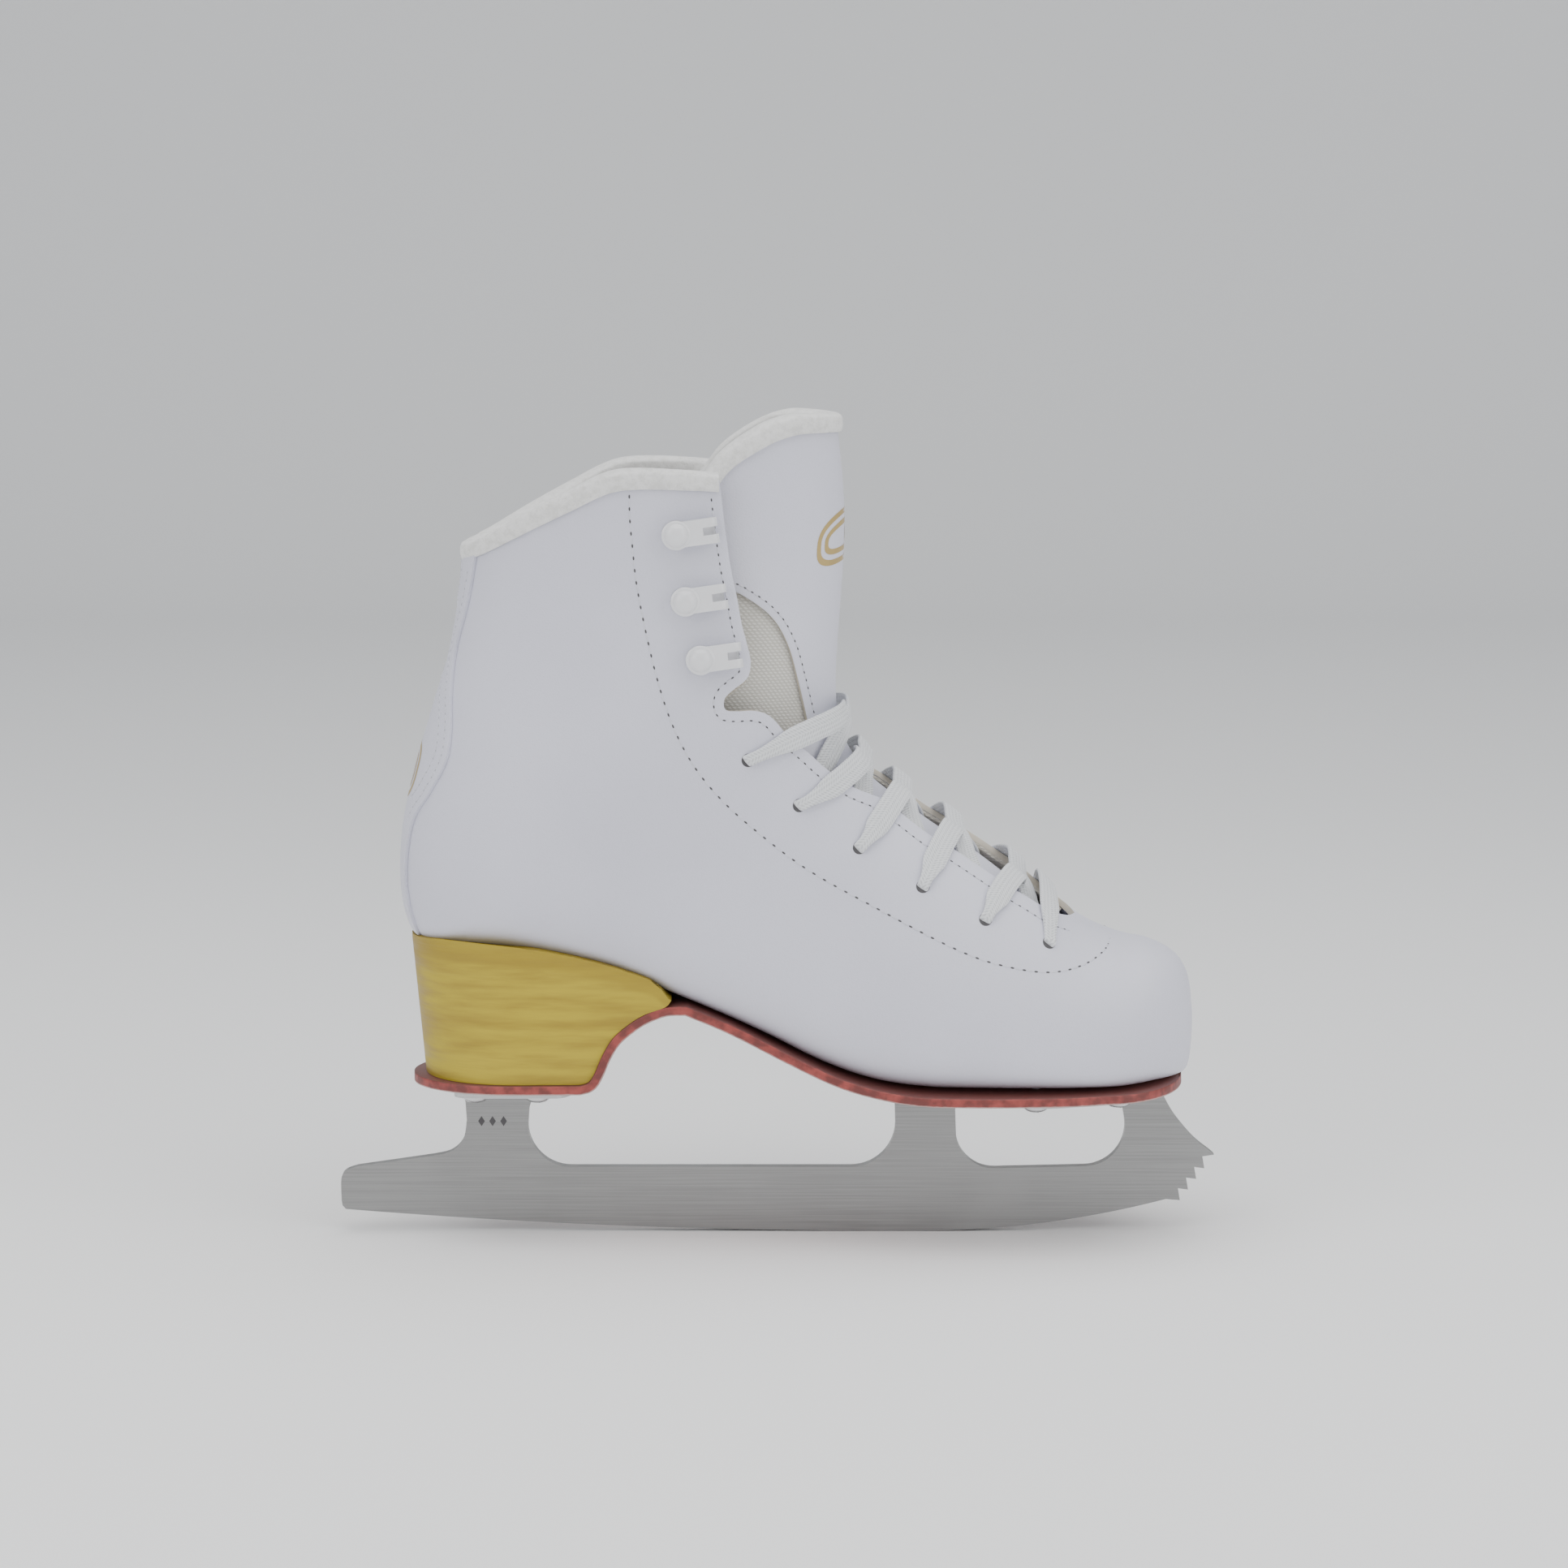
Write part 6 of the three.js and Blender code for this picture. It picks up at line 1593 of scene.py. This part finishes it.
    def rims(self, plan: np.ndarray) -> np.ndarray:
        """How far the heel's rim stands above its seat, to meet the leather that curves under the foot."""
        below = np.concatenate([np.linspace(0, 0.16, 60), np.linspace(0.84, 1, 60)])
        us, vs = np.meshgrid(np.linspace(10, 19, 260), below, indexing="ij")
        cloud = self.form.surface(us, vs).reshape(-1, 3)
        cloud = cloud[cloud[:, 2] < FEATHER(cloud[:, 0]) + self.lip]
        rims = []
        for x, y in plan:
            gap = (cloud[:, 0] - x) ** 2 + (cloud[:, 1] - y * (1 - 0.5 / max(abs(y), 6))) ** 2
            near = cloud[np.argmin(gap)]
            rims.append(max(near[2] - float(FEATHER(x)), 0.0))
        smooth = np.ones(5) / 5
        return np.convolve(np.pad(rims, 2, mode="edge"), smooth, mode="valid") * ease(-plan[:, 0], 34, 40)

    def heel(self) -> None:
        """The gold heel: walls from the plan outline, tapered, and a hollowed breast."""
        tip = -34.0
        breast = np.array(smooth_line([(tip, float(FEATHER(tip)) - 0.3), *self.breast], 8))
        order = np.argsort(breast[:, 0])
        rows = 30
        floor = self.heel_floor + self.thickness + 0.12
        outline = []
        for side in Side:
            x, y = self.half_width(side, 0.2)
            xs = np.concatenate([np.linspace(tip, -83, 60), x[x < -84]])
            ys = np.interp(-xs, -x, y)
            walk = np.stack([xs, ys], axis=1)
            outline.append(walk if side is Side.OUTER else walk[::-1][1:])
        plan = np.concatenate(outline)
        points, rise = [], []
        for (x, y), rim in zip(plan, self.rims(plan)):
            top = float(FEATHER(x)) - 0.12 + rim
            bottom = floor
            if x > self.breast[-1][0]:
                bottom = max(floor, float(np.interp(x, breast[order, 0], breast[order, 1])) + 0.1)
            bottom = min(bottom, top - 0.02)
            for k in range(rows):
                z = bottom + (top - bottom) * k / (rows - 1)
                low = np.clip((98 - z) / (98 - floor), 0, 1)
                lean = 4.0 * low * np.clip((-84 - x) / 34, 0, 1)
                narrow = (self.taper + 0.2) * low * (0.35 + 0.65 * np.clip((-34 - x) / 20, 0, 1))
                points.append((x + lean, y - math.copysign(min(narrow, abs(y)), y), z))
                rise.append((z - floor) / (top - floor))
        faces = grid_faces(len(plan), rows)
        faces.append([i * rows for i in range(len(plan))])
        faces.append([i * rows + rows - 1 for i in range(len(plan))][::-1])
        made = mesh_object("heel_gold", np.array(points), faces)
        store(made, "rise", rise)
        bound(dress(made, self.paint), BOOT, "heel", "heel_block")


# ---- blade -----------------------------------------------------------------------------------------

@dataclass
class Blade:
    """The steel runner with its toe picks, its two mounting plates and the screws that hold them."""

    steel: bpy.types.Material
    plated: bpy.types.Material
    bright: bpy.types.Material
    # dark finish: painted shade in the screw recesses, and the real colour of the etched marks
    shade_and_etch_dark: bpy.types.Material
    thickness: float = 4.0
    rocker: float = 2140
    front_rocker: float = 302
    lowest: float = 35
    front_start: float = 47
    pick_foot: float = 127
    pick_step: tuple[float, float] = (2.62, 3.55)
    heel_foot: float = 48.0
    front_foot: float = 46.7
    head: float = 4.1
    head_height: float = 2.0
    heel_screws: tuple = ((-97.5, -15.5), (-97.5, 15.5), (-77.5, -15.5), (-77.5, 15.5))
    front_screws: tuple = ((48, -12), (48, 12), (83, -24.5), (83, 24.5), (110, -17), (110, 18))

    def edge_height(self, x: float) -> float:
        """Height of the running edge at X."""
        if x < self.lowest:
            return (x - self.lowest) ** 2 / (2 * self.rocker)
        return 0.0 if x < self.front_start else (x - self.front_start) ** 2 / (2 * self.front_rocker)

    def corner(self, a: tuple, p: tuple, b: tuple, radius: float, steps: int = 14) -> Line:
        """A corner at p between a and b, rounded by an arc."""
        va, vb = np.subtract(a, p), np.subtract(b, p)
        va, vb = va / np.linalg.norm(va), vb / np.linalg.norm(vb)
        half = math.acos(float(np.clip(va.dot(vb), -1, 1))) / 2
        reach = radius / math.tan(half)
        middle = np.array(p) + (va + vb) / np.linalg.norm(va + vb) * radius / math.sin(half)
        start, end = np.array(p) + va * reach - middle, np.array(p) + vb * reach - middle
        a0 = math.atan2(start[1], start[0])
        sweep = (math.atan2(end[1], end[0]) - a0 + math.pi) % (2 * math.pi) - math.pi
        turns = [a0 + sweep * k / steps for k in range(steps + 1)]
        return [tuple(middle + radius * np.array([math.cos(a), math.sin(a)])) for a in turns]

    def outline(self) -> Line:
        """The runner in the side view."""
        edge = [(x, self.edge_height(x)) for x in np.linspace(-141.2, self.pick_foot, 110)]
        foot = self.edge_height(self.pick_foot)
        picks = []
        for i in range(4):
            picks.append((self.pick_foot + 4.6 + self.pick_step[0] * i, foot - 0.4 + self.pick_step[1] * i))
            picks.append((self.pick_foot + 3.9 + self.pick_step[0] * i, foot + 3.6 + self.pick_step[1] * i))
        picks.append((self.pick_foot + 15.6, 25.4))
        nose = smooth_line([(141.2, 26.6), (135.6, 31.2), (129.2, 39), (125, self.front_foot)], 6)
        f, h = self.front_foot, self.heel_foot
        window = [(111.6, f), *self.corner((111.6, f), (115.8, 21.9), (58, 20.6), 13.5),
                  *self.corner((115, 21.9), (58.2, 20.6), (58.2, f), 12.5), (57.9, f - 4)]
        post = [*self.corner((57.9, f - 8), (58.2, f), (62, f), 1.6, 6)[::1], (36.4, f)]
        middle = [(38.2, f - 3), *self.corner((38.4, f), (38.4, 21.4), (-40, 21.4), 14.5),
                  *self.corner((0, 21.4), (-81.4, 21.4), (-81.4, 44), 14.0), (-81, 41), (-78.6, h)]
        tail = [(-103, h), (-101.8, 43),
                *smooth_line([(-101.4, 37), (-102.6, 30.6), (-106.4, 26.6), (-112, 25.1)], 6),
                *smooth_line([(-137.4, 21.4), (-141, 20), (-142.6, 17.4), (-142.6, 10.4)], 5),
                (-142.3, self.edge_height(-141.2) + 1.2)]
        return [*edge, *picks, *nose, *window, *post, *middle, *tail]

    def build(self, nodes: dict[str, bpy.types.Object]) -> None:
        """Makes the blade's pieces.

        Args:
            nodes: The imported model's nodes.
        """
        runner = extruded("runner", self.outline(), -self.thickness / 2, self.thickness / 2)
        dress(runner, self.steel)
        rounded(runner, 0.28, 2, 50)
        bound(runner, BOOT, "blade_steel", "blade_runner")
        for name in ("heel_plate", "front_plate"):
            dress(nodes[name], self.plated)
            rounded(nodes[name], 0.4, 2, 50)
        seats = {"heel_plate": (self.heel_screws, self.heel_foot),
                 "front_plate": (self.front_screws, self.front_foot)}
        for plate, (places, foot) in seats.items():
            for i, (x, y) in enumerate(places):
                node = f"{plate}_screw_{i + 1}"
                self.screw(node, x, y, foot - 0.3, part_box(node)[1][2] / MM)

    def screw(self, node: str, x: float, y: float, seat: float, tip: float) -> None:
        """A domed screw with a cross recess drawn as dark quads of painted shade.

        Args:
            node: The node that it stands for.
            x: Its place along the skate.
            y: Its place across it.
            seat: Height of the underside of the plate.
            tip: Height of its point.
        """
        profile = [(0, tip), (0.7, tip - 0.6), (1.7, tip - 2.4), (1.7, seat), (self.head, seat),
                   (self.head, seat - 0.35), (self.head * 0.93, seat - 0.85), (self.head * 0.74, seat - 1.45),
                   (self.head * 0.45, seat - 1.85), (0, seat - self.head_height)]
        shank = turned("shank", profile, np.array([x, y, 0.0]), np.array([0.0, 0.0, 1.0]), 28)
        made = merged(f"{node}_domed", [shank], 1e-6)
        # painted shade: the cross recess is flat dark quads on the dome, not a hollow
        slots = []
        for a in (0.4, 0.4 + math.pi / 2):
            d, w = np.array([math.cos(a), math.sin(a)]), np.array([-math.sin(a), math.cos(a)])
            for s in (-1, 1):
                near, far = d * 0.1 * s, d * 2.0 * s
                quad = [near + w * 0.35, far + w * 0.22, far - w * 0.22, near - w * 0.35]
                crown = seat - self.head_height - 0.04
                slots.append([(x + q[0], y + q[1], crown + 0.05 * float(q @ q)) for q in quad])
        recess = mesh_object(f"{node}_recess", np.array(slots).reshape(-1, 3),
                             [[4 * i + k for k in range(4)] for i in range(len(slots))])
        bound(dress(made, self.bright), BOOT, "screw", node)
        bound(dress(recess, self.shade_and_etch_dark), BOOT, "screw")

    def etched_marks(self) -> None:
        """Three small lozenges etched on the heel stanchion, in place of a size mark."""
        points, faces = [], []
        for side in (-1, 1):
            for i in range(3):
                x, z = -96.6 + 3.6 * i, 36.6
                start = len(points)
                for dx, dz in ((1.1, 0), (0, 1.7), (-1.1, 0), (0, -1.7)):
                    points.append((x + dx, side * (self.thickness / 2 + 0.03), z + dz))
                faces.append([start + k for k in range(4)])
        made = mesh_object("etched_lozenges", np.array(points), faces)
        bound(dress(made, self.shade_and_etch_dark), BOOT, "blade_steel")


# ---- the set ---------------------------------------------------------------------------------------

@dataclass
class Studio:
    """A pale sweep, soft lights and the camera."""

    target: Vector = field(default_factory=lambda: Vector((0.0021, 0.0, 0.1474)))
    distance: float = 1.55
    elevation: float = 8.0
    lens: float = 110.0
    floor_front: float = -3.4
    floor_back: float = 1.9
    half_breadth: float = 3.2
    bend_radius: float = 0.55
    wall_top: float = 3.2
    floor_drop: float = 0.15
    lamps: tuple = (("top", (0.1, -0.15, 1.9), (0, 0, 0.1), 2.2, 36),
                    ("left", (-1.5, -1.3, 1.1), (0, 0, 0.13), 1.5, 15),
                    ("right", (1.6, -1.2, 0.9), (0, 0, 0.13), 1.5, 14))
    sky: tuple = (0.9, 0.92, 0.95, 1)
    sky_strength: float = 0.52

    def camera(self) -> None:
        """Places the camera at the side of the skate, a little above it."""
        data = bpy.data.cameras.new("camera")
        data.lens = self.lens
        data.sensor_width = 36.0
        data.clip_end = 50
        made = linked("camera", data)
        a = math.radians(self.elevation)
        made.location = self.target + Vector((0, -math.cos(a), math.sin(a))) * self.distance
        made.rotation_euler = (math.radians(90 - self.elevation), 0, 0)
        bpy.context.scene.camera = made

    def sweep(self) -> None:
        """A floor that curves up into the backdrop, painted lighter in front and with painted shade towards
        the back.
        """
        paper = Shader("paper")
        # painted shade: darker from the front of the floor towards the back wall, plus faint random mottling
        cloud = paper.math("ADD", paper.axis("Y"), paper.math("MULTIPLY", paper.noise(3, 2), 0.04))
        material = paper.finish(paper.blend(paper.ramp(cloud, -0.5, 1.1), (0.98, 0.98, 0.975),
                                            (0.78, 0.785, 0.79)), 0.9, specular=0.1)
        back, radius = self.floor_back, self.bend_radius
        profile = [(self.floor_front, 0.0), (back, 0.0)]
        profile += [(back + radius * math.sin(a), radius * (1 - math.cos(a)))
                    for a in np.linspace(0, math.pi / 2, 24)[1:]]
        profile.append((back + radius, self.wall_top))
        points = [(x * 1000, y * 1000, z * 1000 - self.floor_drop)
                  for y, z in profile for x in (-self.half_breadth, self.half_breadth)]
        made = mesh_object("sweep", np.array(points), grid_faces(len(profile), 2))
        dress(made, material)

    def light(self, name: str, place: tuple, aim: tuple, size: float, power: float) -> None:
        """One soft square lamp.

        Args:
            name: The lamp's name.
            place: Where it is, in metres.
            aim: What it points at.
            size: Its side in metres.
            power: In watts.
        """
        data = bpy.data.lights.new(name, "AREA")
        data.energy = power
        data.size = size
        made = linked(name, data)
        made.location = place
        made.rotation_euler = (Vector(aim) - Vector(place)).to_track_quat("-Z", "Y").to_euler()

    def build(self) -> None:
        """Sets the stage."""
        self.camera()
        self.sweep()
        for lamp in self.lamps:
            self.light(*lamp)
        world = bpy.data.worlds.new("world")
        bpy.context.scene.world = world
        world.use_nodes = True
        sky = world.node_tree.nodes["Background"]
        sky.inputs["Color"].default_value = self.sky
        sky.inputs["Strength"].default_value = self.sky_strength


@dataclass
class Skate:
    """The whole skate."""

    nodes: dict[str, bpy.types.Object]
    form: BootForm = field(default_factory=BootForm)

    def build(self) -> None:
        """Builds each sub-assembly and dresses the nodes that stay."""
        leather = Leather().build()
        tongue_leather = Leather("tongue_leather_finish").build()
        raw = Plain("raw_edge", (0.60, 0.55, 0.46), 0.8, texture=0.06).build()
        # painted shade for the needle holes, lace holes and screw recesses, and the real colour of the etched
        # marks
        dark = Plain("hole_shade_and_etching", (0.10, 0.095, 0.10), 0.9).build()
        thread = Plain("sewing_thread", (0.70, 0.70, 0.77), 0.7, texture=0.03).build()
        gold = Plain("gold_print", (0.46, 0.33, 0.12), 0.38, texture=0.01, coat=0.2).build()
        plush = Plush().build()
        tape = Knit("facing_tape", (0.60, 0.57, 0.50), (0.45, 0.42, 0.36), 1.1).build()
        lining = Knit("lining_cloth", (0.66, 0.65, 0.61), (0.56, 0.55, 0.51), 0.9, 0.12).build()
        mesh = Knit("tongue_mesh", (0.76, 0.745, 0.70), (0.55, 0.53, 0.48), 1.0, 0.12).build()
        upper = Upper(self.form, leather, raw, tape, lining, plush)
        upper.build(dark)
        tongue = Tongue(self.form, tongue_leather, raw, mesh, plush)
        tongue.build()
        self.sew(upper, tongue, thread, dark)
        back = Crest(self.form, 11.0, 9.5, 1.7).build("back_emblem", 0.0, 19.95, -upper.overlay)
        bound(dress(back, gold), BOOT, "upper_leather")
        front = Crest(self.form, 19.0, 8.4, 1.7).build("tongue_emblem", 0.5, 21.5, 7.0)
        bound(dress(front, gold), TONGUE, "tongue_leather")
        Lace(self.form, Ribbed().build(), Plain("lace_film", (0.75, 0.75, 0.76), 0.25).build()).build()
        enamel = Plain("white_enamel", (0.80, 0.80, 0.82), 0.16, texture=0.004, vary=0.98, coat=0.5).build()
        Hooks(self.form, enamel).build()
        sole = Sole(self.form, HeelPaint().build(), SoleRubber().build())
        sole.outsole()
        sole.heel()
        steel = Steel().build()
        plated = Steel("plated_steel", (0.60, 0.60, 0.60), (0.5, 0.5, 0.5), 0.3).build()
        bright = Plain("bright_steel", (0.72, 0.72, 0.73), 0.22, 1.0, 0.004).build()
        blade = Blade(steel, plated, bright, dark)
        blade.build(self.nodes)
        blade.etched_marks()
        self.dress_hidden()

    def sew(self, upper: Upper, tongue: Tongue, thread: bpy.types.Material, dark: bpy.types.Material) -> None:
        """Sews the boot and the tongue."""
        seams = Seams(self.form)
        facing = Seams(self.form, pitch=2.9, hole=0.42)
        for side in Side:
            seams.row([p for p in raised(smooth_line(SEWN_LINE, 6), side) if p[1] < COLLAR(p[0]) - 5.5], side)
            inset = set_off(raised(FRONT_EDGE, side), -3.2)
            facing.row([p for p in inset if p[1] < COLLAR(p[0]) - 5.5 and p[0] < 96], side)
        rows = seams.build("long_seam", thread, dark) + facing.build("facing_seam", thread, dark)
        pale = Plain("seam_shadow", (0.42, 0.42, 0.46), 0.9).build()
        back = Seams(self.form, pitch=2.7, hole=0.3)
        edge = smooth_line(STAY_EDGE, 6)
        for side in Side:
            for inset in (-2.2, -4.4):
                line = [p for p in set_off(edge, inset) if 101 < p[1] < COLLAR(p[0]) - 6 and p[0] > -119]
                breaks = np.where(np.linalg.norm(np.diff(line, axis=0), axis=1) > 6)[0] + 1
                for run in np.split(np.array(line), breaks):
                    if len(run) > 4:
                        back.row(run.tolist(), side, -upper.overlay)
        for made in rows + back.build("back_seam", thread, pale):
            bound(made, BOOT, "upper_leather")
        edging = Seams(self.form, pitch=2.7, hole=0.4)
        for side in Side:
            line = set_off(smooth_line(TONGUE_LEATHER_EDGE, 6), -2.4)
            edging.row([p for p in line if p[1] > 166 and p[0] > -22], side, tongue.seat)
        for made in edging.build("tongue_seam", thread, dark):
            tongue.bent(made, "tongue_leather")

    def dress_hidden(self) -> None:
        """Finishes for the nodes that stay as they are."""
        finishes = {
            ("heel_counter", "toe_puff"): Plain("fibreboard", (0.45, 0.36, 0.24), 0.85),
            ("ankle_pad_outer", "ankle_pad_inner"):
                Plain("foam", (0.66, 0.58, 0.38), 0.95, texture=0.2, scale=700),
            ("steel_shank",): Steel("shank_steel_finish"),
            ("insole_board",): Plain("leatherboard", (0.42, 0.28, 0.16), 0.85, texture=0.05),
            ("footbed",): Knit("footbed_cloth", (0.70, 0.69, 0.66), (0.60, 0.59, 0.56), 1.0, 0.1, ("X", "Y")),
        }
        for nodes, finish in finishes.items():
            material = finish.build()
            for node in nodes:
                dress(self.nodes[node], material)
        rivet = Plain("rivet_metal", (0.75, 0.75, 0.75), 0.35, 1.0, 0.01).build()
        for side in Side:
            for i in range(3):
                dress(self.nodes[f"hook_rivet_{side.word}_{i + 1}"], rivet)


def main() -> None:
    """Builds the set and the skate."""
    logging.basicConfig(level=logging.INFO, format="%(message)s")
    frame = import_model()
    Studio().build()
    Skate(frame["nodes"]).build()


if __name__ == "__main__":
    main()
